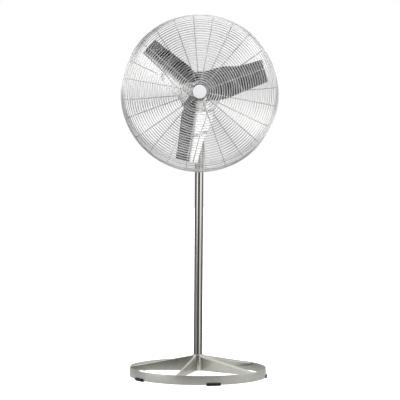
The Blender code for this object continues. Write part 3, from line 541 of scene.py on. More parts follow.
def arm_ring(top, h=ARM_T / 2):
    """Folded section: web, rounded bend and sloping flange, seen along the arm."""
    t = ARM_T * 0.75
    # outside skin: web foot, rounded bend, sloping flange with a rounded lip
    c = (h - BEND_R, top - BEND_R)
    pts = [(h, ARM_Z0)]
    for i in range(9):
        a = radians(130.0 * i / 8)
        pts.append((c[0] + BEND_R * cos(a), c[1] + BEND_R * sin(a)))
    down = (-cos(DROP), -sin(DROP))
    under = (sin(DROP), -cos(DROP))
    tip = (-h - FLANGE * cos(DROP), pts[-1][1] - (FLANGE + pts[-1][0] - h) * sin(DROP) * 0.97)
    for i in range(7):
        a = radians(180.0 * i / 6)
        pts.append((tip[0] + under[0] * t / 2 * (1 - cos(a)) + down[0] * t / 2 * (sin(a) - 1),
                    tip[1] + under[1] * t / 2 * (1 - cos(a)) + down[1] * t / 2 * (sin(a) - 1)))
    pts.append((-h - 0.0008, pts[-1][1] + (-h - 0.0008 - pts[-1][0]) * tan(DROP)))
    pts.append((-h, pts[-1][1] - 0.0010))
    pts.append((-h, ARM_Z0))
    return pts


m_weld = Mesh()
for k in range(5):
    deg = -35.0 + 72.0 * k
    rot = Matrix.Rotation(radians(deg), 3, "Z")
    m = Mesh()
    secs = []
    n = 24
    top_in, top_out = 0.1190, RING_Z1 - 0.0006
    for i in range(n + 1):
        s = i / n
        top = top_in + (top_out - top_in) * s
        sec = []
        for y, z in arm_ring(top):
            if i == 0:
                x = sqrt(max(ARM_IN ** 2 - min(abs(y), ARM_IN * 0.95) ** 2, 0))
                x = max(x, 0.0180)
            elif i == n:
                x = sqrt(ARM_OUT ** 2 - y * y)
            else:
                x = ARM_IN + (ARM_OUT - ARM_IN) * s
            p = rot @ Vector((x, y, z))
            sec.append((p.x, p.y, p.z))
        secs.append(sec)
    loft(m, secs)
    m.obj("arm_%d" % (k + 1), M_ARM, "base", ["base_arm_%d" % (k + 1)], angle=50)
    # fillet welds: both sides of the web at the socket and at the band
    for side in (1, -1):
        for x0, z0, z1, lean in ((ARM_IN, ARM_Z0 + 0.003, 0.112, 1), (ARM_OUT, ARM_Z0 + 0.002, RING_Z1 - 0.008, -1)):
            path = []
            nn = 28 if lean > 0 else 10
            for i in range(nn + 1):
                z = z0 + (z1 - z0) * i / nn
                wob = 0.00035 * sin(i * 2.1 + k)
                path.append(rot @ Vector((x0 + lean * 0.0006, side * (ARM_T / 2 + 0.0006) + wob * side, z)))
            rod(m_weld, path, 0.0052, sides=8, taper=lambda t: (0.55 + 0.45 * min(1, 6 * t, 6 * (1 - t))) * (1 + 0.10 * sin(t * 88)))
m_weld.obj("arm_welds", M_WELD, "base", angle=60)

# rubber pads: moulded channel with rounded edges
ri, ro = RING_R - RING_T, RING_R
for k, mid in enumerate((-146.6, -77.0, -3.8, 68.0, 140.0)):
    m = Mesh()
    sec = soft([(ri - 0.0062, 0.0), (ro + 0.0062, 0.0), (ro + 0.0062, RING_Z0 + 0.0115),
                (ro + 0.0003, RING_Z0 + 0.0115), (ro + 0.0003, 0.0041), (ri - 0.0003, 0.0041),
                (ri - 0.0003, RING_Z0 + 0.0080), (ri - 0.0062, RING_Z0 + 0.0080)], 0.0012, 3)
    secs = []
    n = 28
    for i in range(n + 1):
        t = i / n
        a = radians(mid + 11.6 * (t - 0.5))
        end = min(t, 1 - t) * n
        row = []
        for r, z in sec:
            rr = r
            if end < 1:                       # round the ends
                rr = 0.5 * (ri + ro) + (r - 0.5 * (ri + ro)) * (0.90 if r > ro + 0.001 or r < ri - 0.001 else 1.0)
                z = max(z, 0.0008) if z < 0.002 else z - (0.0008 if z > 0.01 else 0)
            row.append((rr * cos(a), rr * sin(a), z))
        secs.append(row)
    loft(m, secs)
    m.obj("pad_%d" % (k + 1), M_RUBBER, "base", ["rubber_pad_%d" % (k + 1)], angle=45)

# ------------------------------------------------------------------ pole
POLE_R, POLE_TOP = 0.02415, 1.3850
m = Mesh()
prof = [(POLE_R - 0.003, 0.0375), (POLE_R, 0.0375)]
for i in range(1, 60):
    prof.append((POLE_R, 0.0375 + (POLE_TOP - 0.0375) * i / 60))
prof += [(POLE_R, POLE_TOP - 0.001), (POLE_R - 0.001, POLE_TOP), (POLE_R - 0.003, POLE_TOP)]
lathe(m, prof, seg=112)
m.obj("pole", M_TUBE, "base", ["pole_tube"], angle=50)

# weld bead where the socket closes on the pole
m = Mesh()
rows = []
for i in range(120):
    a = 2 * pi * i / 120
    rip = 0.00045 * (0.5 + 0.5 * sin(a * 34))
    row = []
    for j in range(8):
        b = 2 * pi * j / 8
        rr = 0.0268 + (0.0030 + rip) * cos(b)
        row.append((rr * cos(a), rr * sin(a), SOCKET_TOP + 0.0002 + (0.0024 + rip) * sin(b)))
    rows.append(row)
loft(m, rows, closed=True)
m.obj("socket_weld", M_WELD, "base", angle=70)

# set bolt in the socket
lock_deg = -35.0 + 108.0
rot = Matrix.Rotation(radians(lock_deg), 4, "Z")
m = Mesh()
prism(m, hexagon(0.0087), 0.0338, 0.0405, axis="X", centre=(0, 0, 0.0780))
lathe(m, [(0.0, 0.0245), (0.0050, 0.0245), (0.0050, 0.0339), (0.0, 0.0339)], axis="X", centre=(0, 0, 0.0780), seg=24)
lathe(m, [(0.0051, 0.0311), (0.0105, 0.0311), (0.0105, 0.0337), (0.0051, 0.0337)], axis="X", centre=(0, 0, 0.0780), seg=32)
m.v = [tuple(rot @ Vector(p)) for p in m.v]
m.obj("pole_lock_screw", M_BOLT, "base", ["pole_lock_bolt"], angle=30, bevel=0.0005)

# ------------------------------------------------------------------ swivel fitting
TZ = 1.4400
m = Mesh()
lathe(m, [(0.0, POLE_TOP + 0.0003), (0.02445, POLE_TOP + 0.0003)] +
      soft([(0.02445, 1.3352), (0.0320, 1.3352), (0.0320, 1.3930), (0.0100, 1.3930)], 0.0040, 5)[5:-5] +
      [(0.0090, 1.3930), (0.0, 1.3930)], seg=96)
m.obj("swivel_sleeve", M_FIT, "swivel", ["swivel_fitting"], angle=40)
m = Mesh()
TW = 0.0170
outline = [(-TW, 1.3890 - TZ), (TW, 1.3890 - TZ)] + [(TW * cos(pi * i / 28), TW * sin(pi * i / 28)) for i in range(29)]
# tongue with its bore: rows round the outline joined to rows round the hole
nO = 64
outer, inner = [], []
for i in range(nO):
    a = 2 * pi * i / nO - pi / 2
    dx, dy = cos(a), sin(a)
    if dy >= 0:
        R = TW
    else:
        R = min(TW / max(abs(dx), 1e-9), (TZ - 1.3890) / max(-dy, 1e-9))
    outer.append((R * dx, R * dy))
    inner.append((0.0063 * dx, 0.0063 * dy))
put = place("X", (0, 0, TZ))
lo, hi = -0.0100, 0.0100
loft(m, [[put(x, y, lo) for x, y in inner], [put(x, y, lo) for x, y in outer],
         [put(x, y, hi) for x, y in outer], [put(x, y, hi) for x, y in inner]], closed=True)
m.obj("swivel_tongue", M_FIT, "swivel", angle=40, bevel=0.0010, bevel_seg=3)
m = Mesh()
path = [(0.0105 * sx, ty, 1.3932) for sx, ty in [(1, -0.017), (1, -0.008), (1, 0.0), (1, 0.008), (1, 0.017)]]
for sx in (1, -1):
    rod(m, [(sx * 0.0104, -0.0165 + 0.033 * i / 20, 1.3934) for i in range(21)], 0.0044,
        taper=lambda t: 0.8 + 0.2 * sin(t * 60))
m.obj("swivel_weld", M_WELD, "swivel", angle=60)


def grip(m, lobes, r, amp, levels, axis, centre, n=96):
    """Moulded hand knob: lobed body with softened edges."""
    put = place(axis, centre)
    rows = []
    for h, k, lobe in levels:
        rows.append([put((r * k + amp * lobe * cos(lobes * 2 * pi * i / n)) * cos(2 * pi * i / n),
                         (r * k + amp * lobe * cos(lobes * 2 * pi * i / n)) * sin(2 * pi * i / n), h)
                     for i in range(n)])
    loft(m, rows)


def knob_levels(h0, h1, crown=0.0012):
    d = h1 - h0
    return [(h0, 0.55, 0.0), (h0, 0.80, 0.6), (h0 + d * 0.05, 0.92, 0.9), (h0 + d * 0.16, 1.0, 1.0),
            (h0 + d * 0.72, 1.0, 1.0), (h0 + d * 0.88, 0.95, 0.95), (h0 + d * 0.97, 0.84, 0.7),
            (h1, 0.62, 0.3), (h1, 0.50, 0.0), (h1 - crown, 0.44, 0.0), (h1 - crown, 0.10, 0.0)]


m = Mesh()
grip(m, 5, 0.0175, 0.0024, knob_levels(0.0382, 0.0558), "Y", (0, 0, 1.3620))
m.obj("swivel_knob_grip", M_PLAST, "swivel_knob", ["swivel_lock_knob"], angle=45)
m = Mesh()
lathe(m, [(0.0, 0.0246), (0.0040, 0.0246), (0.0042, 0.0250)] +
      [(0.0042 - 0.0004 * (i % 2), 0.0252 + 0.0006 * i) for i in range(22)] + [(0.0040, 0.0384), (0.0, 0.0384)],
      axis="Y", centre=(0, 0, 1.3620), seg=32)
m.obj("swivel_knob_screw", M_BOLT, "swivel_knob", angle=50)

# ------------------------------------------------------------------ tilt joint
m = Mesh()
prism(m, hexagon(0.0108, pi / 6), -0.0262, -0.0190, axis="X", centre=(0, 0, TZ))
lathe(m, [(0.0, -0.0192), (0.0060, -0.0192), (0.0060, 0.0335), (0.0052, 0.0340), (0.0, 0.0340)], axis="X",
      centre=(0, 0, TZ), seg=40)
m.obj("tilt_pivot_bolt", M_BOLT, "head", ["tilt_bolt"], angle=30, bevel=0.0006)
for name, h0, h1 in (("tilt_washer_left", -0.0186, -0.0166), ("tilt_washer_right", 0.0166, 0.0186)):
    m = Mesh()
    lathe(m, soft([(0.0063, h0), (0.0130, h0), (0.0130, h1), (0.0063, h1)], 0.0004, 2), axis="X",
          centre=(0, 0, TZ), seg=56)
    m.obj(name.replace("tilt_", "pivot_"), M_BOLT, "head", [name], angle=50)
m = Mesh()
KN0 = 0.0189
put = place("X", (0, 0, TZ))
n = 96
rows = []
for h, r, amp in ((KN0 + 0.0220, 0.0063, 0), (KN0, 0.0063, 0), (KN0, 0.0110, 0), (KN0 + 0.0008, 0.0120, 0),
                  (KN0 + 0.0055, 0.0120, 0), (KN0 + 0.0062, 0.0150, 0.0012), (KN0 + 0.0072, 0.0200, 0.0026),
                  (KN0 + 0.0090, 0.0218, 0.0033), (KN0 + 0.0220, 0.0226, 0.0036), (KN0 + 0.0250, 0.0210, 0.0032),
                  (KN0 + 0.0266, 0.0180, 0.0022), (KN0 + 0.0270, 0.0130, 0.0)):
    rows.append([put((r + amp * cos(4 * 2 * pi * i / n)) * cos(2 * pi * i / n),
                     (r + amp * cos(4 * 2 * pi * i / n)) * sin(2 * pi * i / n), h) for i in range(n)])
loft(m, rows)
m.obj("tilt_knob_grip", M_PLAST, "tilt_clamp", ["tilt_knob"], angle=45)

# motor cradle: folded saddle with two ears
SAD = 0.0830
half = radians(38.0)
m = Mesh()
yy = 0.0220
steps = 40
inner = [(SAD * sin(-half + 2 * half * i / steps), -SAD * cos(-half + 2 * half * i / steps)) for i in range(steps + 1)]
outer = [((SAD + 0.006) * sin(half - 2 * half * i / steps), -(SAD + 0.006) * cos(half - 2 * half * i / steps))
         for i in range(steps + 1)]
outline = inner + outer
prism(m, outline, -yy, yy, axis="Y", centre=(0, 0, HZ))
m.obj("cradle_saddle", M_FIT, "head", ["motor_cradle"], angle=35, bevel=0.0010, bevel_seg=3)
m = Mesh()
for sx in (1, -1):
    x0, x1 = (0.0103, 0.0163) if sx > 0 else (-0.0163, -0.0103)
    outer, inner = [], []
    top = (HZ - SAD - 0.0035) - TZ
    for i in range(nO):
        a = 2 * pi * i / nO - pi / 2
        dx, dy = cos(a), sin(a)
        if dy <= 0:
            R = 0.0219
        else:
            R = min(0.0219 / max(abs(dx), 1e-9), top / max(dy, 1e-9))
        outer.append((R * dx, R * dy))
        inner.append((0.0064 * dx, 0.0064 * dy))
    put = place("X", (0, 0, TZ))
    loft(m, [[put(x, y, x0) for x, y in inner], [put(x, y, x0) for x, y in outer],
             [put(x, y, x1) for x, y in outer], [put(x, y, x1) for x, y in inner]], closed=True)
m.obj("cradle_ears", M_FIT, "head", angle=40, bevel=0.0008, bevel_seg=3)
m = Mesh()
for sx in (1, -1):
    for off in (0.0172, 0.0096):
        zz = HZ - sqrt((SAD + 0.006) ** 2 - off ** 2) - 0.0003
        rod(m, [(sx * off, -0.0205 + 0.041 * i / 24, zz) for i in range(25)], 0.0036,
            taper=lambda t: 0.8 + 0.2 * sin(t * 70))
m.obj("cradle_weld", M_WELD, "head", angle=60)

# ------------------------------------------------------------------ motor
MR, MY0, MY1, BY0, BY1 = 0.0825, -0.0950, 0.0650, -0.1160, 0.0860
HC = (0, 0, HZ)
m = Mesh()
prof = [(MR - 0.0045, MY0), (MR - 0.0008, MY0), (MR, MY0 + 0.0008)]
for i in range(1, 40):
    prof.append((MR, MY0 + (MY1 - MY0) * i / 40))
prof += [(MR, MY1 - 0.0008), (MR - 0.0008, MY1), (MR - 0.0045, MY1)]
lathe(m, prof, axis="Y", centre=HC, seg=128)
m.obj("motor_shell", M_PAINT, "head", ["motor_housing"], angle=50)
for name, node_name, f in (("motor_end_front", "motor_front_bell", 1), ("motor_end_rear", "motor_rear_bell", -1)):
    a, b = (BY0, MY0 - 0.0003) if f > 0 else (BY1, MY1 + 0.0003)
    m = Mesh()
    hole = 0.0098 if f > 0 else 0.0
    d = 1 if f > 0 else -1
    core = [(0.0300, a), (0.0310, a + d * 0.0012), (0.0560, a + d * 0.0012), (0.0640, a + d * 0.0002),
            (0.0765, a + d * 0.0002), (0.0800, a + d * 0.0022), (MR, a + d * 0.0055), (MR, b), (0.0770, b),
            (0.0770, a + d * 0.0085), (0.0280, a + d * 0.0085), (0.0280, b), (0.0203, b),
            (0.0203, a + d * 0.0075)]
    if f > 0:
        prof = [(hole, a), (0.0180, a)] + core + [(hole, a + d * 0.0075)]
    else:
        prof = [(0.0, a), (0.0180, a)] + core + [(0.0, a + d * 0.0075)]
    lathe(m, prof, axis="Y", centre=HC, seg=96)
    m.obj(name, M_PAINT, "head", [node_name], angle=28)
# tie bolts: heads outside the rear bell with washers, shank inside
for k in range(4):
    a = radians(45 + 90 * k)
    c = (0.0715 * cos(a), 0.0, HZ + 0.0715 * sin(a))
    m = Mesh()
    prism(m, hexagon(0.0054, a), BY1 + 0.0014, BY1 + 0.0050, axis="Y", centre=c)
    lathe(m, [(0.0026, BY1 + 0.0002), (0.0060, BY1 + 0.0002), (0.0060, BY1 + 0.0013), (0.0026, BY1 + 0.0013)],
          axis="Y", centre=c, seg=28)
    lathe(m, [(0.0, -0.1163), (0.0020, -0.1163), (0.0025, -0.1158), (0.0025, BY1 + 0.0015), (0.0, BY1 + 0.0015)],
          axis="Y", centre=c, seg=16)
    m.obj("motor_tie_bolt_%d" % (k + 1), M_BOLT, "head", ["tie_bolt_%d" % (k + 1)], angle=30,
          bevel=0.0003)

# switch box: walls, saddle foot, lid with lip and four screws
BX, BYa, BYb, BT = 0.0400, -0.0450, 0.0500, HZ + 0.1220
case = Mesh()
case_at, case_points, case_index = {}, [], []
for v in nodes["switch_box"].data.vertices:
    key = tuple(round(c, 6) for c in v.co)
    if key not in case_at:
        case_at[key] = len(case_points)
        case_points.append(tuple(v.co))
    case_index.append(case_at[key])
case_faces = [tuple(case_index[i] for i in f.vertices) for f in nodes["switch_box"].data.polygons]
case.add(case_points, [f for f in case_faces if len(set(f)) == len(f)])
case.obj("switch_case", M_PAINT, "head", ["switch_box"], angle=35, bevel=0.0007, bevel_angle=50)
m = Mesh()
o1 = round_rect(-BX - 0.001, BYa - 0.001, BX + 0.001, BYb + 0.001, 0.007, 8)
o2 = round_rect(-BX + 0.003, BYa + 0.003, BX - 0.003, BYb - 0.003, 0.005, 8)
loft(m, [[(x, y, BT + 0.0003) for x, y in o1], [(x, y, BT + 0.0022) for x, y in o1],
         [(x * 0.985, (y - 0.0025) * 0.985 + 0.0025, BT + 0.0030) for x, y in o1]])
m.obj("switch_lid", M_PAINT, "head", ["switch_box_lid"], angle=35, bevel=0.0004)
m = Mesh()
for sx, sy in ((1, 1), (1, -1), (-1, 1), (-1, -1)):
    c = (sx * 0.0320, 0.0025 + sy * 0.0390, BT + 0.00275)
    # pan head with a small round recess sunk in its crown
    lathe(m, [(0.0, 0.0)] + [(0.0034 * cos(t), 0.0020 * sin(t)) for t in [pi / 2 * i / 6 for i in range(7)]][:-1] +
          [(0.0012, 0.0019), (0.0009, 0.0012), (0.0, 0.0012)], axis="Z", centre=c, seg=28)
m.v = [(x, y, min(z, BT + 0.0049)) for x, y, z in m.v]
m.obj("switch_lid_screws", M_BOLT, "head", angle=40)

SWX, SWZ, GLX = 0.0190, HZ + 0.1060, -0.0190
m = Mesh()
n = 96


def skirt(r, h):
    return [(r * (1 + 0.02 * cos(24 * 2 * pi * i / n)) * cos(2 * pi * i / n),
             r * (1 + 0.02 * cos(24 * 2 * pi * i / n)) * sin(2 * pi * i / n)) for i in range(n)]


put = place("Y", (SWX, 0, SWZ))
rows = []
for h, r in ((BYb - 0.0028, 0.0032), (BYb + 0.0006, 0.0032), (BYb + 0.0006, 0.0136), (BYb + 0.0010, 0.0142),
             (BYb + 0.0046, 0.0142), (BYb + 0.0052, 0.0136), (BYb + 0.0060, 0.0118), (BYb + 0.0150, 0.0108),
             (BYb + 0.0165, 0.0100), (BYb + 0.0169, 0.0086), (BYb + 0.0165, 0.0078)):
    flute = 0.03 if 0.0105 < r < 0.012 else 0.0
    rows.append([put(r * (1 + flute * cos(18 * 2 * pi * i / n)) * cos(2 * pi * i / n),
                     r * (1 + flute * cos(18 * 2 * pi * i / n)) * sin(2 * pi * i / n), h) for i in range(n)])
loft(m, rows)
m.obj("speed_dial_grip", M_PLAST, "speed_dial", ["speed_knob"], angle=40)
M_MARK = coated("m_dial_mark", (0.78, 0.78, 0.76), (0.66, 0.66, 0.64), (0.4, 0.55), 200.0, 0.05)
m = Mesh()
prism(m, round_rect(SWX - 0.0007, SWZ + 0.0030, SWX + 0.0007, SWZ + 0.0084, 0.0004, 3), BYb + 0.0164, BYb + 0.0169,
      axis="Y")
m.obj("speed_dial_pointer", M_MARK, "speed_dial", angle=40)
# four raised stop dots round the dial on the box, off and three speeds
m = Mesh()
for k, sz in enumerate((0.0008, 0.0010, 0.0013, 0.0016)):
    a = radians(90 - 90 * k)
    blob(m, (SWX + 0.0185 * cos(a) * (0.93), BYb + 0.0001, SWZ + (0.0165 * sin(a)) * 0.86), (0, 1, 0), sz, 0.0003, 3, 12)
m.obj("speed_dial_dots", M_MARK, "head", angle=60)

m = Mesh()
gl = (GLX, 0, SWZ)
lathe(m, [(0.0045, BYb - 0.0080), (0.0078, BYb - 0.0080)] +
      [(0.0080 - 0.0005 * (i % 2), BYb - 0.0078 + 0.0007 * i) for i in range(11)] +
      [(0.0080, BYb + 0.0003), (0.0086, BYb + 0.0003)] +
      [(0.0086, BYb + 0.0062), (0.0096, BYb + 0.0068), (0.0098, BYb + 0.0120), (0.0090, BYb + 0.0150),
       (0.0074, BYb + 0.0172), (0.0066, BYb + 0.0180), (0.0047, BYb + 0.0180)], axis="Y", centre=gl, seg=72,
      wave=lambda a, h: 1.0 + (0.03 * max(0, cos(12 * a)) if h > BYb + 0.0066 and h < BYb + 0.0155 else 0.0))
prism(m, hexagon(0.0112, 0.0), BYb + 0.0004, BYb + 0.0058, axis="Y", centre=gl)
m.obj("cord_gland", M_PLAST, "head", ["cable_gland"], angle=32, bevel=0.0003)

for nm, mat_ in (("motor_stator", M_CORE), ("motor_rotor", M_CORE), ("bearing_front", M_BOLT),
                 ("bearing_rear", M_BOLT), ("run_capacitor", M_PLAST), ("speed_switch", M_PLAST),
                 ("motor_shaft", M_TUBE), ("hub_set_screw", M_BOLT), ("badge_backing", M_FIT)):
    nodes[nm].data.materials.clear()
    nodes[nm].data.materials.append(mat_)

# ------------------------------------------------------------------ blades


def pitch(u):
    t = min(max((u - 0.050) / 0.326, 0.0), 1.0)
    return radians(25.5) + radians(-3.0) * t


def crease_at(u):
    return float(np.interp(u * 1000, (44, 82, 120, 164, 196, 224, 262, 305, 376),
                           (50, 57, 62.5, 60, 54, 50, 48.5, 48, 46))) / 1000.0


def surface(u, v):
    """The pressed sheet: twisted and hollow towards the front; the crease is added by crease_depth where it is used.
    """
    x = (v - 0.012) / 0.085
    y = BLADE_Y - v * tan(pitch(u)) + 0.010 * (1.0 - x * x)
    return y


def crease_depth(u, v):
    fade = min(1.0, max(0.0, (u - 0.070) / 0.050))
    d = (v - crease_at(u)) / 0.0016
    return 0.0011 * fade * math.exp(-d * d)


V_LO = ((46, -55), (60, -59), (76, -63), (109, -70), (142, -72), (170, -70), (196, -67), (251, -63), (305, -58), (376, -54))
V_HI = ((18, 118), (44, 104), (76, 98), (109, 99), (142, 98), (175, 93), (196, 86), (218, 79), (251, 73), (305, 69), (376, 68))
V_ROOT = ((18, 115), (20, 110), (24, 98), (27, 71), (32, 50), (33.2, 32), (36, 28.6), (39, 24.4), (42, 18.8), (44, 13.4), (45.4, 7.4), (46, 0))


def smooth_interp(table, xs, width=9.0):
    fx = np.arange(table[0][0] - 30, table[-1][0] + 30, 0.5)
    fy = np.interp(fx, [a for a, b in table], [b for a, b in table])
    # extend both ends straight so that averaging keeps the corner places
    s0 = (table[1][1] - table[0][1]) / (table[1][0] - table[0][0])
    s1 = (table[-1][1] - table[-2][1]) / (table[-1][0] - table[-2][0])
    fy = np.where(fx < table[0][0], table[0][1] + s0 * (fx - table[0][0]), fy)
    fy = np.where(fx > table[-1][0], table[-1][1] + s1 * (fx - table[-1][0]), fy)
    k = np.exp(-0.5 * (np.arange(-60, 61) * 0.5 / width) ** 2)
    k /= k.sum()
    sm = np.convolve(np.pad(fy, 60, mode="edge"), k, mode="same")[60:-60]
    return np.interp(xs, fx, sm)


def fan_frame(deg):
    c, s = cos(radians(deg)), sin(radians(deg))
    return lambda u, v, y: (u * c - v * s, y, HZ + u * s + v * c)


us = [18.4, 19.2, 20.4, 22, 24, 26, 28, 30, 32, 33.4, 35, 37, 39, 41, 43, 44.4, 45.4, 45.98, 46.05]
us += list(np.linspace(48, 370, 92)) + [371.5, 373, 374.4, 375.4, 376.0]
us = np.array(us)
hi = smooth_interp(V_HI, us, 7.0)
lo_out = smooth_interp(V_LO, us, 7.0)
lo_in = np.interp(us, [a for a, b in V_ROOT], [b for a, b in V_ROOT])
lo = np.where(us < 46.0, lo_in, lo_out)
# rounded tip corners, and the rounded root corner of the leading edge
for i, u in enumerate(us):
    if u > 370:
        ins = 6 - sqrt(max(36 - (u - 370) ** 2, 0))
        hi[i] -= ins
        lo[i] += ins
    if 46.0 < u < 54:
        lo[i] += 8 - sqrt(max(64 - (54 - u) ** 2, 0))
    if u < 22:
        hi[i] -= (22 - u) * 0.5

T = 0.0020
N1, N2 = 22, 12
for k, deg in enumerate(BLADE_DIRS):
    put = fan_frame(deg)
    front, back = [], []
    for i, u in enumerate(us):
        um = u / 1000.0
        vc = min(max(crease_at(um) * 1000, lo[i] + 0.35 * (hi[i] - lo[i])), hi[i] - 0.12 * (hi[i] - lo[i]))
        vs = list(np.linspace(lo[i], vc - 3.2, N1)) + [vc - 2.2, vc - 1.4, vc - 0.7, vc, vc + 0.7, vc + 1.4, vc + 2.2] + \
            list(np.linspace(vc + 3.2, hi[i], N2)) if hi[i] - lo[i] > 24 else list(np.linspace(lo[i], hi[i], N1 + N2 + 7))
        for side, rows in ((-1, front), (1, back)):
            rows.append([put(um, v / 1000.0, surface(um, v / 1000.0) + crease_depth(um, v / 1000.0) + side * T / 2)
                         for v in vs])
    m = Mesh()
    nv = len(front[0])
    nu = len(us)
    verts = [p for r in front for p in r] + [p for r in back for p in r]
    off = nu * nv
    faces = []
    for i in range(nu - 1):
        for j in range(nv - 1):
            a, b, c, d = i * nv + j, i * nv + j + 1, (i + 1) * nv + j + 1, (i + 1) * nv + j
            faces.append((a, b, c, d))
            faces.append((off + a, off + d, off + c, off + b))
    rim = [j for j in range(nv)] + [i * nv + nv - 1 for i in range(1, nu)] + \
          [(nu - 1) * nv + j for j in range(nv - 2, -1, -1)] + [i * nv for i in range(nu - 2, 0, -1)]
    for a, b in zip(rim, rim[1:] + rim[:1]):
        faces.append((a, off + a, off + b, b))
    m.add(verts, faces)
    m.obj("fan_blade_%d" % (k + 1), M_BLADE[k], "propeller", ["blade_%d" % (k + 1)], angle=60)

# spider: pressed plate with three rounded arms lying on the blades
S_T = 0.0032
SEAT = T / 2 + 0.0002 + S_T / 2
AV0, AV1, AU = 0.0, 0.0440, 0.0960
FLAT_Y = -0.2026 - 0.0003 - 0.0020


def spider_y(x, z):
    r = sqrt(x * x + z * z)
    best = None
    for k in range(3):
        a0 = radians(BLADE_DIRS[k])
        u = x * cos(a0) + z * sin(a0)
        v = -x * sin(a0) + z * cos(a0)
        if u > 0 and -0.004 < v < AV1 + 0.004:
            best = surface(u, v) + crease_depth(u, v) - SEAT
    if best is None:
        return FLAT_Y
    t = min(max((r - 0.0310) / 0.0125, 0.0), 1.0)
    t = t * t * (3 - 2 * t)
    return FLAT_Y + (best - FLAT_Y) * t


outline = []
rad, mid_v = (AV1 - AV0) / 2, (AV1 + AV0) / 2
for k in range(3):
    a0 = radians(BLADE_DIRS[k])
    pts = [(0.0330, AV0 - 0.0010), (0.0380, AV0), (0.055, AV0)]
    pts += [(AU - rad + rad * cos(radians(t)), mid_v + rad * sin(radians(t))) for t in range(-90, 91, 10)]
    pts += [(0.055, AV1), (0.034, AV1), (0.027, AV1 + 0.0005), (0.021, AV1 - 0.0010)]
    outline += [(u * cos(a0) - v * sin(a0), u * sin(a0) + v * cos(a0)) for u, v in pts]
bm = bmesh.new()
bm.faces.new([bm.verts.new((x, z, 0.0)) for x, z in outline])
for nrm in ((1, 0, 0), (0, 1, 0)):
    for i in range(-22, 23):
        bmesh.ops.bisect_plane(bm, geom=bm.verts[:] + bm.edges[:] + bm.faces[:], dist=1e-6,
                               plane_co=Vector(nrm) * (i * 0.0045 + 0.0001), plane_no=Vector(nrm))
bm.verts.ensure_lookup_table()
plate = Mesh()
idx = {v: i for i, v in enumerate(bm.verts)}
nb = len(bm.verts)
vv = [(v.co.x, spider_y(v.co.x, v.co.y) - S_T / 2, HZ + v.co.y) for v in bm.verts]
vv += [(v.co.x, spider_y(v.co.x, v.co.y) + S_T / 2, HZ + v.co.y) for v in bm.verts]
ff = []
for f in bm.faces:
    ids = [idx[v] for v in f.verts]
    ff.append(tuple(ids))
    ff.append(tuple(i + nb for i in ids[::-1]))
for e in bm.edges:
    if len(e.link_faces) == 1:
        a, b = (idx[v] for v in e.verts)
        ff.append((a, b, b + nb, a + nb))
bm.free()
plate.add(vv, ff)
plate.obj("spider_plate", M_FIT, "propeller", ["blade_spider"], angle=55, bevel=0.0006, bevel_angle=60)

# rivets through spider and blade, four on each arm
m = Mesh()
for k in range(3):
    a0 = radians(BLADE_DIRS[k])
    for u, v in ((0.0620, 0.0100), (0.0620, 0.0340), (0.0830, 0.0110), (0.0830, 0.0330)):
        y = surface(u, v) + crease_depth(u, v)
        beta = pitch(u)
        nl = Vector((0, -cos(beta), 0)) + Vector((sin(a0), 0, -cos(a0))) * sin(beta)
        p = Vector((u * cos(a0) - v * sin(a0), y, HZ + u * sin(a0) + v * cos(a0)))
        blob(m, p + nl * (SEAT + S_T / 2 - 0.0002), nl, 0.0048, 0.0026, 5, 18)
        blob(m, p - nl * (T / 2 - 0.0001), -nl, 0.0045, 0.0020, 5, 18)
m.obj("blade_rivets", M_BOLT, "propeller", angle=60)

m = Mesh()
lathe(m, soft([(0.0093, -0.1680), (0.0200, -0.1680), (0.0200, -0.1950), (0.0225, -0.1960), (0.0225, -0.2024),
               (0.0155, -0.2030), (0.0155, -0.2165), (0.0093, -0.2165)], 0.0010, 3), axis="Y", centre=HC, seg=80)
m.obj("hub_body", M_FIT, "propeller", ["propeller_hub"], angle=40)
m = Mesh()
for k in range(3):
    a = radians(78 + 120 * k)
    c = (0.0235 * cos(a), 0.0, HZ + 0.0235 * sin(a))
    prism(m, hexagon(0.0046, a), FLAT_Y - S_T / 2 - 0.0034, FLAT_Y - S_T / 2 - 0.0001, axis="Y", centre=c)
m.obj("hub_bolts", M_BOLT, "propeller", angle=30, bevel=0.0003)

# ------------------------------------------------------------------ guards
W_RING, W_RIB, W_RIM = 0.0036, 0.0052, 0.0050


def dish(front, inset=0.0, n=400):
    """Points (r, y, arc length, inward normal) down the dish from the middle to the rim."""
    face = FRONT_Y if front else REAR_Y
    dome = DOME if front else 0.0
    rim = RIM_F if front else RIM_B
    pts = []
    for i in range(n + 1):
        r = FACE_R * i / n
        pts.append((r, face + dome * (r / FACE_R) ** 2))
    e = face + dome
    for i in range(1, n + 1):
        a = (pi / 2) * i / n
        pts.append((FACE_R + (RIM_C - FACE_R) * sin(a), e + (rim - e) * (1 - cos(a))))
    P = np.array(pts)
    d = np.gradient(P, axis=0)
    L = np.hypot(d[:, 0], d[:, 1])
    tx, ty = d[:, 0] / L, d[:, 1] / L
    # inward means towards the blades
    sgn = 1.0 if front else -1.0
    nx, ny = -ty * sgn, tx * sgn
    s = np.concatenate([[0], np.cumsum(np.hypot(np.diff(P[:, 0]), np.diff(P[:, 1])))])
    Q = P + np.stack([nx, ny], 1) * inset
    return P, Q, s


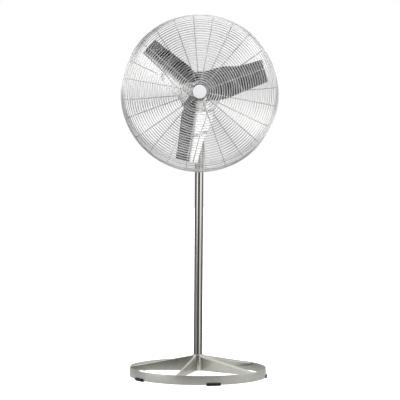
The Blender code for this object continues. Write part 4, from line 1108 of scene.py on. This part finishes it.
def guard(front, first_deg, name, node_name, r_start, gap):
    P, Q, s = dish(front, (W_RING + W_RIB) / 2 - 0.0004)
    s0 = float(np.interp(r_start, P[:, 0], s))
    total = s[-1]
    count = int((total - s0 - 0.0045) / gap) + 1
    step = gap
    rings = Mesh()
    spots = Mesh()
    line = []
    for i in range(count):
        si = s0 + step * i
        r = float(np.interp(si, s, P[:, 0]))
        y = float(np.interp(si, s, P[:, 1]))
        line.append((r, y))
        torus(rings, r, W_RING, (0, y, HZ), seg=max(72, int(28 + r * 300)), sides=8)
    # weld nuggets at each crossing with a rib
    for k in range(12):
        a = radians(first_deg + 30 * k)
        for si in [s0 + step * i for i in range(count)]:
            j = int(np.searchsorted(s, si))
            j = min(j, len(s) - 2)
            r, y = P[j]
            q = Q[j]
            mid = (np.array((r, y)) * 0.62 + np.array(q) * 0.38)
            nr, ny = (np.array((r, y)) - np.array(q))
            L = math.hypot(nr, ny)
            # one nugget at each crossing bridges rib and ring
            c = Vector((mid[0] * cos(a), mid[1], HZ + mid[0] * sin(a)))
            nl = Vector((nr / L * cos(a), ny / L, nr / L * sin(a)))
            blob(spots, c - nl * 0.0002, nl, 0.0021, 0.0012, 2, 7)
    rim_y = RIM_F if front else RIM_B
    torus(rings, 0.4297 - W_RIM / 2, W_RIM, (0, rim_y, HZ), seg=208, sides=12)
    rings.obj(name + "_rings", M_WIRE, "head", [node_name], angle=180)
    ribs = Mesh()
    for k in range(12):
        a = radians(first_deg + 30 * k)
        path = []
        lo_s = s0 - 0.004
        for i in range(61):
            si = lo_s + (total - lo_s) * i / 60
            r = float(np.interp(si, s, Q[:, 0]))
            y = float(np.interp(si, s, Q[:, 1]))
            path.append((r * cos(a), y, HZ + r * sin(a)))
        rod(ribs, path, W_RIB, sides=10)
    ribs.obj(name + "_ribs", M_RIB, "head", angle=70)
    spots.obj(name + "_welds", M_RIB, "head", angle=180)


guard(True, 20.0, "front_guard", "front_guard", 0.0445, 0.0129)
guard(False, 5.0, "rear_guard", "rear_guard", 0.1183, 0.01325)

# plate on the motor nose that carries the rear guard
PY0, PY1 = BY0 - 0.0035, BY0 - 0.0005
m = Mesh()
lathe(m, soft([(0.0240, PY0), (0.0380, PY0), (0.0400, PY0 + 0.0010), (0.0480, PY0 + 0.0010), (0.0500, PY0),
               (0.1120, PY0), (0.1120, PY1), (0.0240, PY1)], 0.0007, 2), axis="Y", centre=HC, seg=128)
m.obj("guard_mount_plate", M_FIT, "head", ["guard_plate"], angle=40)
for k in range(4):
    a = pi / 2 * k
    c = (0.0580 * cos(a), 0.0, HZ + 0.0580 * sin(a))
    m = Mesh()
    lathe(m, [(0.0, PY0 - 0.0026), (0.0014, PY0 - 0.0026), (0.0020, PY0 - 0.0037), (0.0034, PY0 - 0.0036),
              (0.0046, PY0 - 0.0028), (0.0050, PY0 - 0.0015), (0.0050, PY0 - 0.0001), (0.0025, PY0 - 0.0001),
              (0.0025, BY0 + 0.0070), (0.0, BY0 + 0.0070)], axis="Y", centre=c, seg=32)
    m.obj("guard_plate_screw_%d" % (k + 1), M_BOLT, "head", ["guard_screw_%d" % (k + 1)], angle=35)

# spring clips on the rims
for k, deg in enumerate((45.0, 135.0, 225.0, 315.0)):
    c, s_ = cos(radians(deg)), sin(radians(deg))
    y0, y1 = RIM_F - 0.0034, RIM_B + 0.0034
    g = 0.4296
    t = 0.0013
    mid_line = []
    for i in range(7):
        a = radians(0 + 90 * i / 6)
        mid_line.append((g - 0.0105 - 0.0020 * sin(a) + 0.0, y0 - 0.0008 + 0.0026 * (1 - cos(a))))
    sec_pts = [(g, y0 + 0.0002), (g - 0.0010, y0 - 0.0006), (g - 0.0100, y0 - 0.0010), (g - 0.0126, y0 + 0.0002),
               (g - 0.0136, y0 + 0.0024), (g - 0.0136, y1 - 0.0024), (g - 0.0126, y1 - 0.0002),
               (g - 0.0100, y1 + 0.0010), (g - 0.0010, y1 + 0.0006), (g, y1 - 0.0002)]
    m = Mesh()
    P = np.array(sec_pts)
    d = np.gradient(P, axis=0)
    L = np.hypot(d[:, 0], d[:, 1])
    nr = np.stack([-d[:, 1] / L, d[:, 0] / L], 1)
    A = P + nr * t / 2
    B = P - nr * t / 2
    loop = [tuple(p) for p in A] + [tuple(p) for p in B[::-1]]
    secs = []
    for w in (-0.0080, -0.0076, 0.0076, 0.0080):
        secs.append([(min(r, 0.4297) * c - w * s_, y, HZ + min(r, 0.4297) * s_ + w * c) for r, y in loop])
    loft(m, secs)
    m.obj("rim_clip_%d" % (k + 1), M_WIRE, "head", ["guard_clip_%d" % (k + 1)], angle=50)

# badge: plain enamelled disc in a thin dark rim
m = Mesh()
lathe(m, [(0.0, FRONT_Y - 0.0062)] + [(0.0372 * sin(radians(90) * i / 18), FRONT_Y - 0.0062 + 0.0012 * (1 - cos(radians(90) * i / 18)))
                                       for i in range(1, 19)] + [(0.0374, FRONT_Y - 0.0040), (0.0, FRONT_Y - 0.0040)],
      axis="Y", centre=HC, seg=112)
m.obj("badge_face", M_BADGE, "head", ["badge_disc"], angle=50)
m = Mesh()
lathe(m, soft([(0.0366, FRONT_Y - 0.0036), (0.0376, FRONT_Y - 0.0056), (0.0386, FRONT_Y - 0.0054),
               (0.0390, FRONT_Y - 0.0033), (0.0386, FRONT_Y - 0.0030), (0.0366, FRONT_Y - 0.0030)], 0.0004, 2),
      axis="Y", centre=HC, seg=112)
m.obj("badge_rim", M_BADGE_RIM, "head", angle=50)
m = Mesh()
torus(m, 0.0320, 0.0030, (0, FRONT_Y - 0.0005, HZ), seg=96, sides=8)
m.obj("badge_wire_ring", M_WIRE, "head", angle=180)

# ------------------------------------------------------------------ stage
def stage_mat(name, color, strength, diffuse=0.0):
    mt = bpy.data.materials.new(name)
    mt.use_nodes = True
    nt = mt.node_tree
    nt.nodes.clear()
    out = nt.nodes.new("ShaderNodeOutputMaterial")
    em = nt.nodes.new("ShaderNodeEmission")
    em.inputs[0].default_value = (*color, 1)
    em.inputs[1].default_value = strength
    if diffuse > 0:
        df = nt.nodes.new("ShaderNodeBsdfDiffuse")
        df.inputs[0].default_value = (diffuse, diffuse, diffuse, 1)
        ad = nt.nodes.new("ShaderNodeAddShader")
        nt.links.new(em.outputs[0], ad.inputs[0])
        nt.links.new(df.outputs[0], ad.inputs[1])
        nt.links.new(ad.outputs[0], out.inputs[0])
    else:
        nt.links.new(em.outputs[0], out.inputs[0])
    return mt


# pale dome seen only by the camera
bm = bmesh.new()
bmesh.ops.create_uvsphere(bm, u_segments=48, v_segments=24, radius=45.0)
me = bpy.data.meshes.new("backdrop")
bm.to_mesh(me)
bm.free()
dome = bpy.data.objects.new("backdrop", me)
me.materials.append(stage_mat("stage_backdrop", (1, 1, 1), 1.0))
scene.collection.objects.link(dome)
dome.visible_diffuse = dome.visible_glossy = dome.visible_transmission = dome.visible_shadow = False

bm = bmesh.new()
bmesh.ops.create_circle(bm, cap_ends=True, segments=96, radius=44.0)
me = bpy.data.meshes.new("floor")
bm.to_mesh(me)
bm.free()
floor = bpy.data.objects.new("floor", me)
floor.location = (0, 0, -0.0006)
me.materials.append(stage_mat("stage_floor", (1, 1, 1), 0.62, 0.80))
scene.collection.objects.link(floor)
floor.visible_glossy = floor.visible_diffuse = False

# the lit floor right round the base, which only the metal sees
bm = bmesh.new()
bmesh.ops.create_circle(bm, cap_ends=True, segments=96, radius=0.78)
me = bpy.data.meshes.new("floor_near")
bm.to_mesh(me)
bm.free()
near = bpy.data.objects.new("floor_near", me)
near.location = (0, 0, -0.0010)
me.materials.append(stage_mat("stage_floor_near", (1.0, 0.995, 0.975), 0.92))
scene.collection.objects.link(near)
near.visible_camera = near.visible_diffuse = near.visible_shadow = False

# ------------------------------------------------------------------ light
world = bpy.data.worlds.new("studio")
scene.world = world
world.use_nodes = True
nt = world.node_tree
nt.nodes.clear()
out = nt.nodes.new("ShaderNodeOutputWorld")
bg = nt.nodes.new("ShaderNodeBackground")
tc = nt.nodes.new("ShaderNodeTexCoord")
sep = nt.nodes.new("ShaderNodeSeparateXYZ")
nt.links.new(tc.outputs["Generated"], sep.inputs[0])
X, Y, Z = sep.outputs
az = math_node(nt, "MULTIPLY", math_node(nt, "ARCTAN2", X, math_node(nt, "MULTIPLY", Y, -1.0)), 180 / pi)
el = math_node(nt, "MULTIPLY", math_node(nt, "ARCSINE", Z), 180 / pi)


def panel(a0, aw, asoft, e0, e1, esoft, level):
    """A softbox: level inside an azimuth and height window with soft edges."""
    d = math_node(nt, "ABSOLUTE", math_node(nt, "SUBTRACT", az, a0))
    wa = remap(nt, d, aw - asoft, aw + asoft, 1.0, 0.0, True)
    w0 = remap(nt, el, e0 - esoft, e0 + esoft, 0.0, 1.0, True)
    w1 = remap(nt, el, e1 - esoft, e1 + esoft, 1.0, 0.0, True)
    return math_node(nt, "MULTIPLY", math_node(nt, "MULTIPLY", wa, level),
                     math_node(nt, "MULTIPLY", w0, w1))


parts = [
    # left softbox, its side, its foot fading downwards
    panel(-66.5, 18.0, 3, 3.0, 31, 1.5, 3.10),
    panel(-100, 17, 5, 4, 29, 3, 2.40),
    panel(-43, 15, 3, -2.0, 1.5, 2.0, 1.45),
    panel(-43, 15, 3, -13, 1.0, 2, 0.26),
    panel(-73, 15, 3, -8, 2.0, 2, 0.28),
    panel(-28, 13, 5, 4, 12, 3, 0.10),
    # right softbox, low, with a reflector under it
    panel(40, 14, 4, -7.5, 5, 2.5, 1.20),
    panel(70, 16, 4, -1.5, 9, 2.0, 1.25),
    panel(70, 15, 4, -8, -1.5, 2.0, 0.22),
    panel(74, 32, 6, -36, -10, 3, 2.60),
    panel(103, 20, 5, 4, 15, 2.5, 1.80),
    # upper right, clear of the dark patch in front of the fan
    panel(91, 32, 3, 14, 43.5, 4, 3.00),
    # ceiling: bright to the right and straight above, dim to the left
    panel(34, 67, 8, 42.5, 99, 3, 2.90),
    panel(-90, 54, 8, 60, 99, 6, 0.90),
    panel(180, 64, 8, 62, 99, 5, 1.10),
    panel(-180, 64, 8, 40, 99, 5, 1.15),
    # pale wall far behind, dark where the sides of the tube look
    panel(180, 60, 9, 8, 40, 4, 0.80),
    panel(-180, 64, 9, 8, 40, 4, 1.20),
    panel(180, 30, 5, -80, 8, 4, 1.00),
    panel(-180, 30, 5, -80, 8, 4, 1.00),
    # floor to the sides and straight below
    panel(98, 32, 10, -80, -36, 4, 0.50),
    panel(-80, 50, 12, -80, -16, 4, 0.40),
    panel(0, 181, 1, -99, -78, 4, 0.50),
    panel(20, 20, 10, -60, -38, 6, 0.12),
]
total = parts[0]
for p in parts[1:]:
    total = math_node(nt, "ADD", total, p)
# a dim room everywhere else, black in the patch that the upper left blade faces
dim = math_node(nt, "SUBTRACT", 0.085, panel(24, 24, 8, 14, 38, 6, 0.080))
total = math_node(nt, "ADD", total, dim)
comb = nt.nodes.new("ShaderNodeCombineColor")
nt.links.new(total, comb.inputs[0])
nt.links.new(math_node(nt, "MULTIPLY", total, 0.995), comb.inputs[1])
nt.links.new(math_node(nt, "MULTIPLY", total, 0.985), comb.inputs[2])
nt.links.new(comb.outputs[0], bg.inputs[0])
bg.inputs[1].default_value = 1.0
nt.links.new(bg.outputs[0], out.inputs[0])


def area(name, loc, target, size, power, glossy=False):
    L = bpy.data.lights.new(name, "AREA")
    L.shape = "RECTANGLE"
    L.size, L.size_y = size
    L.energy = power
    ob = bpy.data.objects.new(name, L)
    ob.location = loc
    d = Vector(target) - Vector(loc)
    ob.rotation_euler = d.to_track_quat("-Z", "Y").to_euler()
    scene.collection.objects.link(ob)
    ob.visible_glossy = glossy
    ob.visible_camera = False
    return ob


area("fill_front", (-1.5, -6.0, 3.0), (0, 0, 1.2), (4.0, 3.0), 310.0)
area("fill_top", (0.5, 0.5, 5.5), (0, 0, 0.0), (5.0, 5.0), 160.0)
